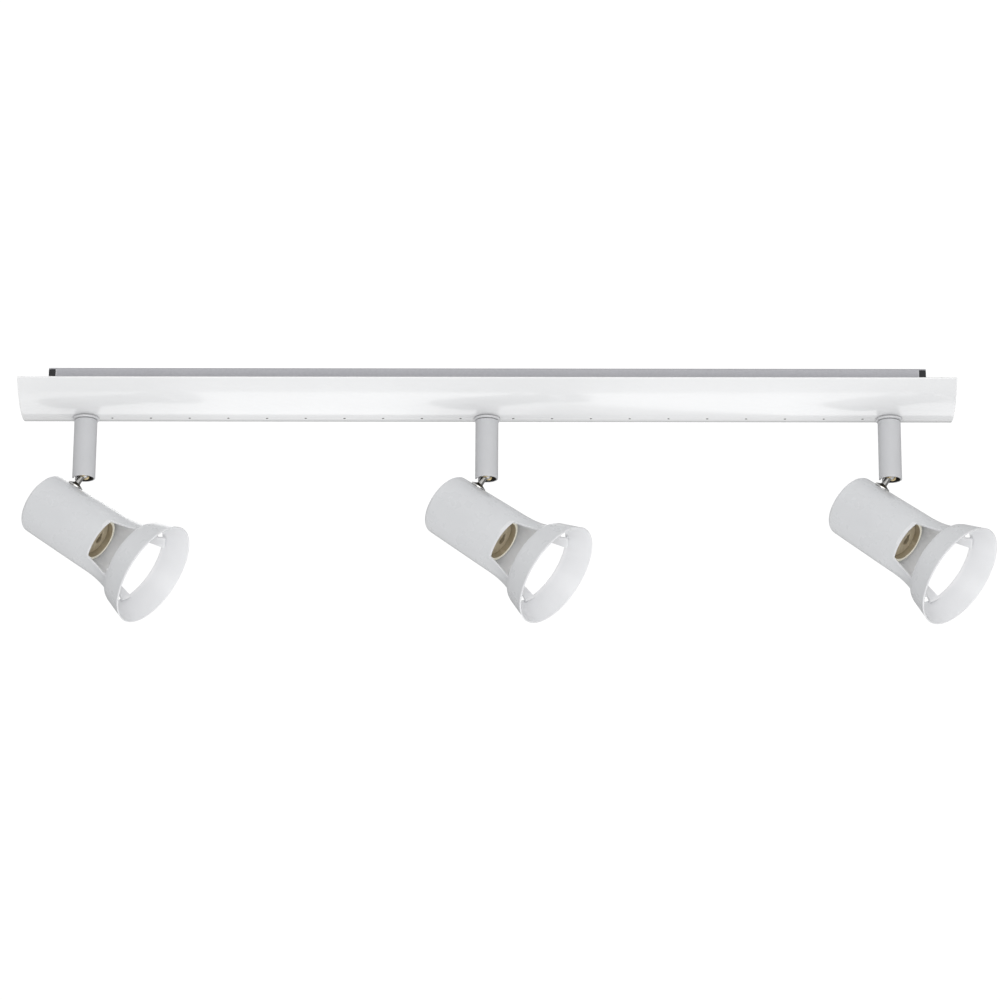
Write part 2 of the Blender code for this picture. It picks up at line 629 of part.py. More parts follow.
def build_bar_leads():
    """Two-core leads from the terminal block to the axis of each stem."""
    z = -RAIL_THICK - GAP - TERMINAL_WAY_DEPTH
    run_z = z - 0.0015
    block_end = TERMINAL_SIZE[0] / 2 + GAP
    routes = {
        "left": (-1, -TERMINAL_WAY_Y, (-0.110, -0.175, -0.235)),
        "right": (1, TERMINAL_WAY_Y, (0.050, 0.150, 0.235)),
        "middle": (1, -TERMINAL_WAY_Y, (-0.022, -0.012)),
    }
    for name, (side, y, stations) in routes.items():
        stem_x = HEADS[name][0]
        start = TERMINAL_X + side * block_end
        points = [(start, y, z), (start + side * 0.004, y, z)]
        points += [(x, 1.3 * y, run_z) for x in stations[:-1]]
        points += [(stations[-1], 0.5 * y, run_z), (stem_x - side * 0.0035, 0, -0.0130)]
        points += [(stem_x, 0, down) for down in (-0.0185, -0.0260, PLATE_BOTTOM - 0.0100)]
        lead(f"bar_lead_{name}", points)


def build_heads():
    collar = collar_mesh()
    stem_pieces = (
        ("stem_tube", stem_mesh(), "white_satin"), ("stem_nut", stem_nut_mesh(), "zinc_steel"),
        ("swivel_fork", fork_mesh(), "brass"), ("swivel_pin", pin_mesh(), "nickel"),
    )
    head_pieces = (
        ("swivel_tongue", tongue_mesh(), "nickel"), ("swivel_nut", tongue_nut_mesh(), "zinc_steel"),
        ("head_shell", shell_mesh(), "white_satin"), ("shade_ring", ring_mesh(), "white_satin"),
        ("lamp_socket", socket_mesh(), "ceramic"), ("socket_strap", strap_mesh(), "zinc_steel"),
        ("socket_screw_a", socket_screw_mesh(-1), "zinc_steel"),
        ("socket_screw_b", socket_screw_mesh(1), "zinc_steel"),
    )
    for name, (x, turn, tilt) in HEADS.items():
        fixed = bpy.data.objects.new(f"stem_place_{name}", None)
        turning = bpy.data.objects.new(f"turn_axis_{name}", None)
        tilting = bpy.data.objects.new(f"tilt_axis_{name}", None)
        for empty in (fixed, turning, tilting):
            bpy.context.scene.collection.objects.link(empty)
        fixed.location.x = x
        turning.parent = fixed
        turning.rotation_euler.z = math.radians(turn)
        tilting.parent = turning
        tilting.location.z = PIVOT_Z
        tilting.rotation_euler.y = math.radians(tilt)
        place(f"stem_collar_{name}", collar, "white_satin", fixed)
        for piece, mesh, finish_name in stem_pieces:
            place(f"{piece}_{name}", mesh, finish_name, turning)
        for piece, mesh, finish_name in head_pieces:
            place(f"{piece}_{name}", mesh, finish_name, tilting)
        lead(f"socket_lead_{name}", socket_lead_points(), tilting)


def main():
    for obj in list(bpy.data.objects):
        bpy.data.objects.remove(obj)
    build_bar()
    build_bar_leads()
    build_heads()


main()
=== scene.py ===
import json
import math

import bmesh
import bpy
from mathutils import Matrix, Vector


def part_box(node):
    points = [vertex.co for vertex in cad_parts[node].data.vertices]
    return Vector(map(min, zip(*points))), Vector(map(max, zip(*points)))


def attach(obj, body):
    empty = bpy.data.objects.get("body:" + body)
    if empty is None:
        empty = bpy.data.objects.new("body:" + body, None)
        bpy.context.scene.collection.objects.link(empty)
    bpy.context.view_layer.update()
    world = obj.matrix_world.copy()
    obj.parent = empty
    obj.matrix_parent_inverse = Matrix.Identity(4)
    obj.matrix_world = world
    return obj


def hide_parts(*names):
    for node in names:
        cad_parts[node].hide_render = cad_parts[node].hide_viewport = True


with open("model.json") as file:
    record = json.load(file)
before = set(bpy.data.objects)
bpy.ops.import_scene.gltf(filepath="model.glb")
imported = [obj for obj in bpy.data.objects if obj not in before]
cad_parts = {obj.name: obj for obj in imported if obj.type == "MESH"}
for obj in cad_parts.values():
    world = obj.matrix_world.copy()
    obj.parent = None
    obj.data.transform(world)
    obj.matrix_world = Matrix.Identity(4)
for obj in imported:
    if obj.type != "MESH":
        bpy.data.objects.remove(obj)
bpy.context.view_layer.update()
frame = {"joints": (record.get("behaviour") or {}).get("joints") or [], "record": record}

# Driving dimensions, in metres and degrees.
WELD = 1e-6                   # points closer than this are one
GAP = 0.0003                  # between pieces that don't touch
OVERRUN = 0.0010              # how far a cutter runs on past a face
EDGE_BAND = 0.0010            # how far the painted edge highlight reaches over a flat
SHEET = 0.0012                # thickness of every folded or spun sheet
SCREW_HOLE = 0.0018
SCREW_HEAD = 0.0019           # height of a pan screw's head

PLATE_RADIUS = 0.0404
PLATE_HALF_ANGLE = 54.3
PIN_HOLE_RADIUS = 0.0008
PIN_HOLE_MARGIN = 0.0170
PIN_HOLES_PER_BAY = 10

RAIL_BEND = 0.0016
RAIL_INSIDE_BEND = 0.0004
RAIL_WALL_SETBACK = 0.0044
CABLE_ENTRY_RADIUS = 0.0080
EARTH_HOLE = 0.0021
EARTH_SCREW_HEAD = 0.0024
FIXING_SLOT_X = 0.150
FIXING_SLOT_RADIUS = 0.0025
FIXING_SLOT_RUN = 0.0050

PLUG_INSERT = 0.0110
PLUG_POCKETS = 6
PLUG_POCKET_PITCH = 0.0062
PLUG_POCKET_HALF = 0.0023
CABLE_WAY_Y = 0.0058          # the terminal block's two cable ways
CABLE_WAY_DROP = 0.0060
CLAMP_X = 0.0090

STEM_RADIUS = 0.00738
STEM_BORE = 0.0062
SPIGOT_RADIUS = 0.0049
SPIGOT_BORE = 0.0034
THREAD_PITCH = 0.0010
PIN_RADIUS = 0.00125
EYE_RADIUS = 0.0030
NECK_RADIUS = 0.0020
FORK_EAR = 0.0021
CONE_RADIUS = 0.0052
STUB_RADIUS = 0.0024

HEAD_DROP = 0.0304            # tilt pin to the head's axis
HEAD_BACK = -0.0139           # stations along the head's axis, from the pin
HEAD_FRONT = 0.0820
BODY_BACK_RADIUS = 0.0204
BODY_FRONT_RADIUS = 0.0213
BACK_ROUNDING = 0.0030
FLARE_START = 0.0361
FLARE_END = 0.0706
FLARE_RISE = 0.0080
FLARE_POWER = 2.6
ARM_TIP = 0.0676
NOTCH_START = 0.0632
NOTCH_HALF_WIDTH = 0.0122
WINDOW_START = 0.0437
WINDOW_HALF_HEIGHT = 0.0134
WINDOW_TAPER = 0.245
RING_BACK = 0.0648
RING_BACK_RADIUS = 0.0288
RING_FRONT_RADIUS = 0.03466
RING_WALL = 0.0010
RING_TURN = 0.0012
RING_SLOPE = (RING_FRONT_RADIUS - RING_BACK_RADIUS) / (HEAD_FRONT - RING_BACK)

SOCKET_BACK = 0.0131
SOCKET_FACE = 0.0364
SOCKET_RADIUS = 0.0146
SOCKET_RIM = 0.0021
SOCKET_RECESS = 0.0032
LAMP_PIN_OFFSET = 0.0050
LAMP_PIN_ENTRY = 0.0026
LAMP_PIN_TAIL = 0.0013
LAMP_PIN_TURN = 55
SOCKET_SCREW_Y = 0.0075
STRAP_HALF = 0.0050
NUT_HEIGHT = 0.0021
LEAD_RADIUS = 0.0014

FLOOR_Z = -3.2

X_AXIS, Y_AXIS, Z_AXIS = Vector((1, 0, 0)), Vector((0, 1, 0)), Vector((0, 0, 1))
HEAD_AXIS = Matrix.Translation((0, 0, -HEAD_DROP))
SCREW_UPRIGHT = Matrix.Rotation(-math.pi / 2, 4, "Y")        # turns a screw's head down
SIDES = ("left", "middle", "right")


# Where things are, read from the frame

def axes_matrix(x, y, z, origin):
    """The frame with these axes at this origin."""
    matrix = Matrix((x, y, z)).transposed().to_4x4()
    matrix.translation = origin
    return matrix


def read_aims():
    """Rest frames: each stem's (+Z up, +Y along its pin) and each head's (+X out of the lamp opening)."""
    joints = {joint["name"]: joint for joint in frame["joints"]}
    mounts = {mount["name"]: mount for mount in frame["record"]["mounts"]}
    stems, heads = {}, {}
    for side in SIDES:
        pin = Vector(joints[f"head_tilt_{side}"]["pos_m"])
        across = Vector(joints[f"head_tilt_{side}"]["axis"]).normalized()
        out = Vector(mounts[f"lamp_seat_{side}"]["axis"])
        out = (out - across * out.dot(across)).normalized()
        stems[side] = axes_matrix(across.cross(Z_AXIS), across, Z_AXIS, (pin.x, pin.y, 0))
        heads[side] = axes_matrix(out, across, out.cross(across), pin)
    return stems, heads


def middle_of(name):
    """The middle of a node's box."""
    low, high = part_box(name)
    return (low + high) / 2


STEM_FRAMES, HEAD_FRAMES = read_aims()
PLATE_LOW, PLATE_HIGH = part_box("cover_plate")
RAIL_LOW, RAIL_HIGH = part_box("ceiling_rail")
STEM_LOW, STEM_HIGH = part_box("stem_tube_middle")
COLLAR_LOW, COLLAR_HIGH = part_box("stem_collar_middle")
NUT_LOW, NUT_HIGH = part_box("stem_nut_middle")
PLATE_BOTTOM = COLLAR_HIGH.z + GAP
STEM_TOP = COLLAR_LOW.z - GAP
PIVOT_Z = HEAD_FRAMES["middle"].translation.z


# Mesh work

def arc(centre, radius, first, last, steps):
    """Points along an arc, in degrees."""
    angles = (math.radians(first + (last - first) * i / steps) for i in range(steps + 1))
    return [(centre[0] + radius * math.cos(a), centre[1] + radius * math.sin(a)) for a in angles]


def cleaned(bm):
    """A shape without doubled or stray points, its faces pointing outwards."""
    bmesh.ops.remove_doubles(bm, verts=bm.verts, dist=WELD)
    bmesh.ops.delete(bm, geom=[vert for vert in bm.verts if not vert.link_faces], context="VERTS")
    bmesh.ops.recalc_face_normals(bm, faces=bm.faces)
    return bm


def faced_outward(bm):
    """An open sheet round the X axis, its faces turned away from the axis."""
    outward = sum(face.normal.dot(Vector((0, *face.calc_center_median()[1:]))) for face in bm.faces)
    if outward < 0:
        bmesh.ops.reverse_faces(bm, faces=bm.faces[:])
    return bm


def softened(bm, width, segments=2, angle=35):
    """A shape whose edges are rounded where its faces turn by more than the angle."""
    limit = math.radians(angle)
    sharp = [edge for edge in bm.edges if len(edge.link_faces) != 2 or edge.calc_face_angle(0) > limit]
    bmesh.ops.bevel(
        bm, geom=sharp, offset=width, offset_type="OFFSET", segments=segments,
        profile=0.5, affect="EDGES", clamp_overlap=True, material=-1,
    )
    return cleaned(bm)


def turned(profile, steps=48, closed=True, axis="X"):
    """A profile of (radius, station) points spun round an axis."""
    bm = bmesh.new()
    verts = [bm.verts.new((station, radius, 0)) for radius, station in profile]
    pairs = list(zip(verts, verts[1:])) + ([(verts[-1], verts[0])] if closed else [])
    edges = [bm.edges.new(pair) for pair in pairs]
    bmesh.ops.spin(
        bm, geom=verts + edges, cent=(0, 0, 0), axis=X_AXIS, angle=2 * math.pi, steps=steps, use_merge=True,
    )
    turns = {"Z": Matrix.Rotation(-math.pi / 2, 4, "Y"), "Y": Matrix.Rotation(math.pi / 2, 4, "Z")}
    bmesh.ops.transform(bm, matrix=turns.get(axis, Matrix()), verts=bm.verts)
    return cleaned(bm)


def rod(radius, start, end, steps=24, axis="X", centre=(0, 0, 0)):
    """A solid round bar between two stations, with its axis through centre."""
    bm = turned(((0, start), (radius, start), (radius, end), (0, end)), steps, closed=False, axis=axis)
    bmesh.ops.translate(bm, verts=bm.verts, vec=centre)
    return bm


def prism(outline, start, end, axis="X"):
    """An outline extruded along an axis: (y, z) for X, (x, z) for Y, (x, y) for Z."""
    along = {"X": X_AXIS, "Y": Y_AXIS, "Z": Z_AXIS}[axis]
    lift = {"X": lambda a, b: (0, a, b), "Y": lambda a, b: (a, 0, b), "Z": lambda a, b: (a, b, 0)}[axis]
    bm = bmesh.new()
    face = bm.faces.new([bm.verts.new(Vector(lift(a, b)) + along * start) for a, b in outline])
    grown = bmesh.ops.extrude_face_region(bm, geom=[face])["geom"]
    far_end = [item for item in grown if isinstance(item, bmesh.types.BMVert)]
    bmesh.ops.translate(bm, verts=far_end, vec=along * (end - start))
    return cleaned(bm)


def block(corner, opposite):
    """A box between two opposite corners."""
    corner, opposite = Vector(corner), Vector(opposite)
    bm = bmesh.new()
    bmesh.ops.create_cube(bm, size=1)
    bmesh.ops.scale(bm, vec=[abs(side) for side in opposite - corner], verts=bm.verts)
    bmesh.ops.translate(bm, vec=(corner + opposite) / 2, verts=bm.verts)
    return cleaned(bm)


def with_loops(bm, planes, reach=math.inf):
    """Extra edge loops where planes cut the faces near y = 0, so that the painted edge highlights stay
    narrow.
    """
    for point, normal in planes:
        faces = [face for face in bm.faces if abs(face.calc_center_median().y) < reach]
        edges = list(dict.fromkeys(edge for face in faces for edge in face.edges))
        verts = list(dict.fromkeys(vert for edge in edges for vert in edge.verts))
        bmesh.ops.bisect_plane(bm, geom=verts + edges + faces, dist=WELD, plane_co=point, plane_no=normal)
    return bm


def moved(bm, matrix):
    bmesh.ops.transform(bm, matrix=matrix, verts=bm.verts)
    return bm


def merged(*shapes):
    """Several shapes in one mesh, each still its own body."""
    whole = bmesh.new()
    for bm in shapes:
        mesh = bpy.data.meshes.new("part")
        bm.to_mesh(mesh)
        bm.free()
        whole.from_mesh(mesh)
        bpy.data.meshes.remove(mesh)
    return whole


def helper(bm):
    """A passing object for a boolean."""
    mesh = bpy.data.meshes.new("helper")
    bm.to_mesh(mesh)
    bm.free()
    obj = bpy.data.objects.new("helper", mesh)
    bpy.context.scene.collection.objects.link(obj)
    return obj


def carved(base, cutters=(), additions=(), envelopes=()):
    """The base joined with the additions, trimmed to the envelopes, and less the cutters."""
    body = helper(base)
    tools = [(helper(bm), "UNION") for bm in additions]
    tools += [(helper(bm), "INTERSECT") for bm in envelopes]
    tools += [(helper(bm), "DIFFERENCE") for bm in cutters]
    for tool, operation in tools:
        boolean = body.modifiers.new(operation.lower(), "BOOLEAN")
        boolean.operation = operation
        boolean.object = tool
    graph = bpy.context.evaluated_depsgraph_get()
    mesh = bpy.data.meshes.new_from_object(body.evaluated_get(graph))
    bm = bmesh.new()
    bm.from_mesh(mesh)
    bpy.data.meshes.remove(mesh)
    for obj in [body] + [tool for tool, _ in tools]:
        bpy.data.objects.remove(obj)
    return bm


def smooth_path(points, steps=6):
    """Points along a smooth curve through the given ones."""
    points = [Vector(point) for point in points]
    ends = [2 * points[0] - points[1], *points, 2 * points[-1] - points[-2]]
    path = []
    for before, here, there, after in zip(ends, ends[1:], ends[2:], ends[3:]):
        for i in range(steps):
            t = i / steps
            bend = 2 * before - 5 * here + 4 * there - after
            twist = 3 * here - before - 3 * there + after
            path.append(here + 0.5 * (t * (there - before) + t * t * bend + t ** 3 * twist))
    return path + [points[-1]]


def tube(points, radius, sides=16):
    """A round tube with domed ends along a smooth curve."""
    path = smooth_path(points)
    bm = bmesh.new()
    normal = (path[1] - path[0]).orthogonal().normalized()
    loops = []
    for i, point in enumerate(path):
        ahead = (path[min(i + 1, len(path) - 1)] - path[max(i - 1, 0)]).normalized()
        normal = (normal - ahead * normal.dot(ahead)).normalized()
        place = axes_matrix(normal, ahead.cross(normal), ahead, point)
        made = bmesh.ops.create_circle(bm, cap_ends=False, segments=sides, radius=radius, matrix=place)
        ring = set(made["verts"])
        loops.append([edge for edge in bm.edges if ring.issuperset(edge.verts)])
    for first, second in zip(loops, loops[1:]):
        bmesh.ops.bridge_loops(bm, edges=first + second)
    bmesh.ops.holes_fill(bm, edges=[edge for edge in bm.edges if edge.is_boundary], sides=0)
    return softened(cleaned(bm), 0.25 * radius, 2, 60)


# Pieces


def piece(name, bm, material, body, place=Matrix(), accent=None, in_cad=True):
    """One finished piece, placed in its mesh. An attribute keeps its own coordinates for the patterns."""
    mesh = bpy.data.meshes.new(name)
    bm.to_mesh(mesh)
    own = mesh.attributes.new("own_place", "FLOAT_VECTOR", "POINT")
    for vertex, value in zip(mesh.vertices, own.data):
        value.vector = vertex.co
    mesh.materials.append(material)
    if accent is not None:
        shade, chosen = accent
        mesh.materials.append(shade)
        for face in mesh.polygons:
            face.material_index = int(chosen(face.center, face.normal))
    mesh.transform(place)
    mesh.shade_smooth()
    mesh.set_sharp_from_angle(angle=math.radians(40))
    obj = bpy.data.objects.new(name, mesh)
    bpy.context.scene.collection.objects.link(obj)
    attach(obj, body)
    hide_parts(*([name] if in_cad else []))


# Finishes

class Wiring:
    """Adds nodes to a tree and joins them."""

    def __init__(self, tree):
        self.tree = tree

    def add(self, kind, inputs=None, **settings):
        node = self.tree.nodes.new(kind)
        for key, value in settings.items():
            setattr(node, key, value)
        for key, value in (inputs or {}).items():
            self.join(value, node.inputs[key])
        return node

    def join(self, value, target):
        if isinstance(value, bpy.types.NodeSocket):
            self.tree.links.new(value, target)
        else:
            target.default_value = value

    def maths(self, operation, *values):
        return self.add("ShaderNodeMath", dict(enumerate(values)), operation=operation).outputs[0]

    def spread(self, value, low, high, to_low=0.0, to_high=1.0):
        inputs = {"Value": value, "From Min": low, "From Max": high, "To Min": to_low, "To Max": to_high}
        return self.add("ShaderNodeMapRange", inputs).outputs["Result"]

    def noise(self, vector, scale, detail=3.0, roughness=0.5):
        inputs = {"Vector": vector, "Scale": scale, "Detail": detail, "Roughness": roughness}
        return self.add("ShaderNodeTexNoise", inputs).outputs["Fac"]

    def mixed(self, factor, low, high):
        """A colour between low and high, each a plain colour or another node's."""
        mix = self.add("ShaderNodeMix", {"Factor": factor}, data_type="RGBA")
        for value, end in ((low, "A"), (high, "B")):
            self.join((*value, 1) if isinstance(value, tuple) else value, mix.inputs[end])
        return mix.outputs["Result"]


def new_group(name, inputs, outputs):
    """A node group that takes a place and some values, and puts out values."""
    group = bpy.data.node_groups.new(name, "ShaderNodeTree")
    group.interface.new_socket(name="Place", in_out="INPUT", socket_type="NodeSocketVector")
    for label, value in inputs.items():
        made = group.interface.new_socket(name=label, in_out="INPUT", socket_type="NodeSocketFloat")
        made.default_value = value
    for label in outputs:
        group.interface.new_socket(name=label, in_out="OUTPUT", socket_type="NodeSocketFloat")
    w = Wiring(group)
    return group, w, w.add("NodeGroupInput").outputs, w.add("NodeGroupOutput").inputs


def paint_skin_group():
    """The surface of sprayed paint: a fine pebbled height, slow changes of tone and sheen."""
    inputs = {"Pebble Scale": 1400.0, "Sheen Low": 0.3, "Sheen High": 0.4}
    group, w, given, result = new_group("paint_skin", inputs, ("Height", "Tone", "Sheen"))
    pebbles = w.noise(given["Place"], given["Pebble Scale"], 2.0, 0.45)
    runs = w.noise(given["Place"], 220.0, 2.0)
    w.join(w.maths("MULTIPLY_ADD", runs, 0.25, pebbles), result["Height"])
    clouds = w.noise(given["Place"], 35.0, 3.0, 0.6)
    w.join(w.spread(clouds, 0.3, 0.7), result["Tone"])
    patches = w.noise(given["Place"], 90.0, 4.0, 0.6)
    w.join(w.spread(patches, 0.3, 0.7, given["Sheen Low"], given["Sheen High"]), result["Sheen"])
    return group


def edge_highlight_group():
    """A painted highlight: a broken mask that is highest on outer edges and 0 on flats and in hollows."""
    group, w, given, result = new_group("edge_highlight", {"Amount": 0.5}, ("Edge",))
    bend = w.add("ShaderNodeNewGeometry").outputs["Pointiness"]
    breaks = w.spread(w.noise(given["Place"], 500.0, 3.0, 0.6), 0.35, 0.65, 0.5, 1.0)
    edge = w.maths("MULTIPLY", w.spread(bend, 0.505, 0.54), breaks)
    w.join(w.maths("MULTIPLY", edge, given["Amount"]), result["Edge"])
    return group


def tool_lines_group():
    """Fine lines left by a lathe round +Z, or by rolling along +X when Straight is 1."""
    inputs = {"Straight": 0.0, "Fineness": 6000.0}
    group, w, given, result = new_group("tool_lines", inputs, ("Height", "Streak"))
    parts = w.add("ShaderNodeSeparateXYZ", {"Vector": given["Place"]}).outputs
    squares = [w.maths("MULTIPLY", parts[axis], parts[axis]) for axis in ("X", "Y")]
    radius = w.maths("SQRT", w.maths("ADD", *squares))
    round_way = w.add("ShaderNodeCombineXYZ", {"X": radius, "Y": parts["Z"]}).outputs[0]
    slow = w.maths("MULTIPLY", parts["X"], 0.01)
    long_way = w.add("ShaderNodeCombineXYZ", {"X": slow, "Y": parts["Y"], "Z": parts["Z"]}).outputs[0]
    way = w.add("ShaderNodeMix", {"Factor": given["Straight"]}, data_type="VECTOR")
    w.join(round_way, way.inputs["A"])
    w.join(long_way, way.inputs["B"])
    lines = w.noise(way.outputs["Result"], given["Fineness"], 2.0, 0.6)
    w.join(lines, result["Height"])
    w.join(w.spread(w.noise(way.outputs["Result"], 900.0, 3.0, 0.6), 0.3, 0.7), result["Streak"])
    return group


GROUPS = {"paint_skin": paint_skin_group(), "edge_highlight": edge_highlight_group(), "tool_lines": tool_lines_group()}


class Finish(Wiring):
    """A material in the making: its shader, and the piece's own coordinates, which its patterns follow."""

    def __init__(self, name):
        self.material = bpy.data.materials.new(f"{name}_finish")
        self.material.use_nodes = True
        super().__init__(self.material.node_tree)
        self.place = self.add("ShaderNodeAttribute", attribute_name="own_place").outputs["Vector"]

    def group(self, name, **inputs):
        named = {label.replace("_", " "): value for label, value in inputs.items()}
        return self.add("ShaderNodeGroup", {"Place": self.place, **named}, node_tree=GROUPS[name]).outputs

    def edged(self, amount, base, edge):
        """The base colour with another colour on its edges: a painted edge highlight."""
        return self.mixed(self.group("edge_highlight", Amount=amount)["Edge"], base, edge)

    def clouds(self, scale, detail, roughness):
        return self.spread(self.noise(self.place, scale, detail, roughness), 0.3, 0.7)

    def done(self, colour, rough, relief, **fixed):
        """The finished material; relief is a height, its distance and its strength."""
        bump = self.add("ShaderNodeBump", dict(zip(("Height", "Distance", "Strength"), relief)))
        surface = {"Base Color": colour, "Roughness": rough, "Normal": bump.outputs["Normal"]}
        surface.update((label.replace("_", " "), value) for label, value in fixed.items())
        for label, value in surface.items():
            self.join(value, self.tree.nodes["Principled BSDF"].inputs[label])
        return self.material


def paint(name, low, high, edge, sheen, pebbles, relief, coat=0.0):
    """Sprayed paint: two close tones, a pebbled skin and paler edges, a painted highlight."""
    w = Finish(name)
    skin = w.group("paint_skin", Pebble_Scale=pebbles, Sheen_Low=sheen[0], Sheen_High=sheen[1])
    colour = w.edged(0.6, w.mixed(skin["Tone"], low, high), edge)
    relief = (skin["Height"], 0.00002, relief)
    return w.done(colour, skin["Sheen"], relief, Coat_Weight=coat, Coat_Roughness=0.06, IOR=1.5)


def rolled_grey():
    """Grey satin paint over rolled steel, whose lines show through faintly along its length."""
    w = Finish("grey_rail")
    skin = w.group("paint_skin", Pebble_Scale=1100.0, Sheen_Low=0.36, Sheen_High=0.5)
    lines = w.group("tool_lines", Straight=1.0, Fineness=2500.0)
    tone = w.maths("MULTIPLY_ADD", lines["Streak"], 0.5, w.maths("MULTIPLY", skin["Tone"], 0.5))
    # The paler edge colour is a painted highlight.
    colour = w.edged(0.7, w.mixed(tone, (0.385, 0.385, 0.412), (0.412, 0.412, 0.44)), (0.62, 0.62, 0.64))
    height = w.maths("ADD", lines["Height"], skin["Height"])
    return w.done(colour, skin["Sheen"], (height, 0.00002, 0.06), Metallic=0.15)


def metal(name, low, high, edge, rough, relief):
    """Bare or plated metal with tool lines, uneven polish and brighter edges, a painted highlight."""
    w = Finish(name)
    lines = w.group("tool_lines")
    uneven = w.maths("MULTIPLY", w.clouds(160.0, 4.0, 0.65), 0.55)
    tone = w.maths("MULTIPLY_ADD", lines["Streak"], 0.45, uneven)
    colour = w.edged(0.8, w.mixed(tone, low, high), edge)
    return w.done(colour, w.spread(tone, 0.0, 1.0, *rough), (lines["Height"], 0.00001, relief), Metallic=1.0)


def moulding(name, low, high, rough, grain, relief, specks=0.0):
    """Moulded or fired material: a fine grain, slow tone changes and a few darker specks."""
    w = Finish(name)
    clouds = w.clouds(120.0, 3.0, 0.6)
    dots = w.spread(w.noise(w.place, 1900.0, 1.0, 0.4), 0.70, 0.78, 0.0, specks)
    darker = tuple(0.45 * value for value in low)
    # The lighter edge colour is a painted highlight.
    highlight_colour = tuple(min(1.0, 1.25 * value + 0.02) for value in high)
    colour = w.edged(0.4, w.mixed(dots, w.mixed(clouds, low, high), darker), highlight_colour)
    grains = w.noise(w.place, grain, 3.0, 0.55)
    return w.done(colour, w.spread(clouds, 0.0, 1.0, *rough), (grains, 0.00004, relief))


def sleeving(name, low, high):
    """Woven glass sleeving: two sets of slanting threads."""
    w = Finish(name)
    waves = []
    for turn in (0.7, -0.7):
        way = w.add("ShaderNodeMapping", {"Vector": w.place, "Rotation": (turn, turn, 0.0)}).outputs[0]
        inputs = {"Vector": way, "Scale": 420.0, "Distortion": 1.5, "Detail": 1.0}
        waves.append(w.add("ShaderNodeTexWave", inputs).outputs["Fac"])
    weave = w.maths("MAXIMUM", *waves)
    return w.done(w.mixed(weave, low, high), w.spread(weave, 0.0, 1.0, 0.75, 0.55), (weave, 0.00015, 0.5))


WHITE_GLOSS = paint(
    "white_gloss", (0.775, 0.78, 0.787), (0.785, 0.79, 0.797), edge=(0.95, 0.95, 0.95),
    sheen=(0.16, 0.20), pebbles=900.0, relief=0.03, coat=0.35,
)
WHITE_SATIN = paint(
    "white_satin", (0.66, 0.67, 0.685), (0.685, 0.695, 0.71), edge=(0.86, 0.86, 0.87),
    sheen=(0.25, 0.32), pebbles=1500.0, relief=0.12, coat=0.2,
)
# A greyer copy of the white satin paint for the stems and collars: partly a greyer paint of their own, partly
# painted shade where they hang close under the plate.
STEM_SATIN_AND_SHADE = paint(
    "stem_satin_and_shade", (0.55, 0.555, 0.57), (0.57, 0.575, 0.59), edge=(0.74, 0.74, 0.75),
    sheen=(0.28, 0.35), pebbles=1500.0, relief=0.12, coat=0.15,
)
# A lighter copy of the white satin paint on the faces that look in towards the head's axis: painted light for
# the bright inside of the shell and ring.
INSIDE_PAINTED_LIGHT = paint(
    "inside_painted_light", (0.77, 0.775, 0.79), (0.79, 0.795, 0.81), edge=(0.88, 0.88, 0.89),
    sheen=(0.28, 0.36), pebbles=1500.0, relief=0.12,
)
GREY_RAIL = rolled_grey()
NICKEL = metal("nickel", (0.19, 0.187, 0.18), (0.34, 0.336, 0.325), (0.88, 0.87, 0.85), (0.26, 0.40), 0.25)
ZINC = metal("zinc_steel", (0.46, 0.48, 0.51), (0.66, 0.66, 0.66), (0.82, 0.82, 0.82), (0.30, 0.48), 0.35)
BRASS = metal("brass", (0.34, 0.24, 0.11), (0.58, 0.44, 0.23), (0.93, 0.78, 0.46), (0.24, 0.42), 0.35)
BLACK_PLASTIC = moulding(
    "black_plastic", (0.004, 0.004, 0.0055), (0.010, 0.010, 0.0125),
    rough=(0.50, 0.66), grain=2600.0, relief=0.35,
)
CREAM_PLASTIC = moulding(
    "cream_plastic", (0.74, 0.71, 0.60), (0.80, 0.78, 0.69), rough=(0.30, 0.42), grain=1500.0, relief=0.20,
)
CERAMIC = moulding(
    "ceramic", (0.74, 0.70, 0.56), (0.82, 0.79, 0.68),
    rough=(0.34, 0.50), grain=1800.0, relief=0.30, specks=0.5,
)
# Darker brown for the lampholder's recess, its walls and the disc in it: painted shade where less light
# reaches.
RECESS_PAINTED_SHADE = moulding(
    "socket_recess_painted_shade", (0.30, 0.245, 0.155), (0.42, 0.355, 0.245),
    rough=(0.45, 0.6), grain=1600.0, relief=0.35, specks=0.6,
)
# Near black on the walls of the plate's pin holes and inside the stem's bore: painted shade.
HOLE_PAINTED_SHADE = moulding(
    "hole_painted_shade", (0.012, 0.011, 0.010), (0.030, 0.028, 0.025), rough=(0.6, 0.8), grain=1800.0, relief=0.3,
)
LEAD_SLEEVE = sleeving("lead_sleeve", (0.58, 0.56, 0.50), (0.80, 0.78, 0.72))


# The bar

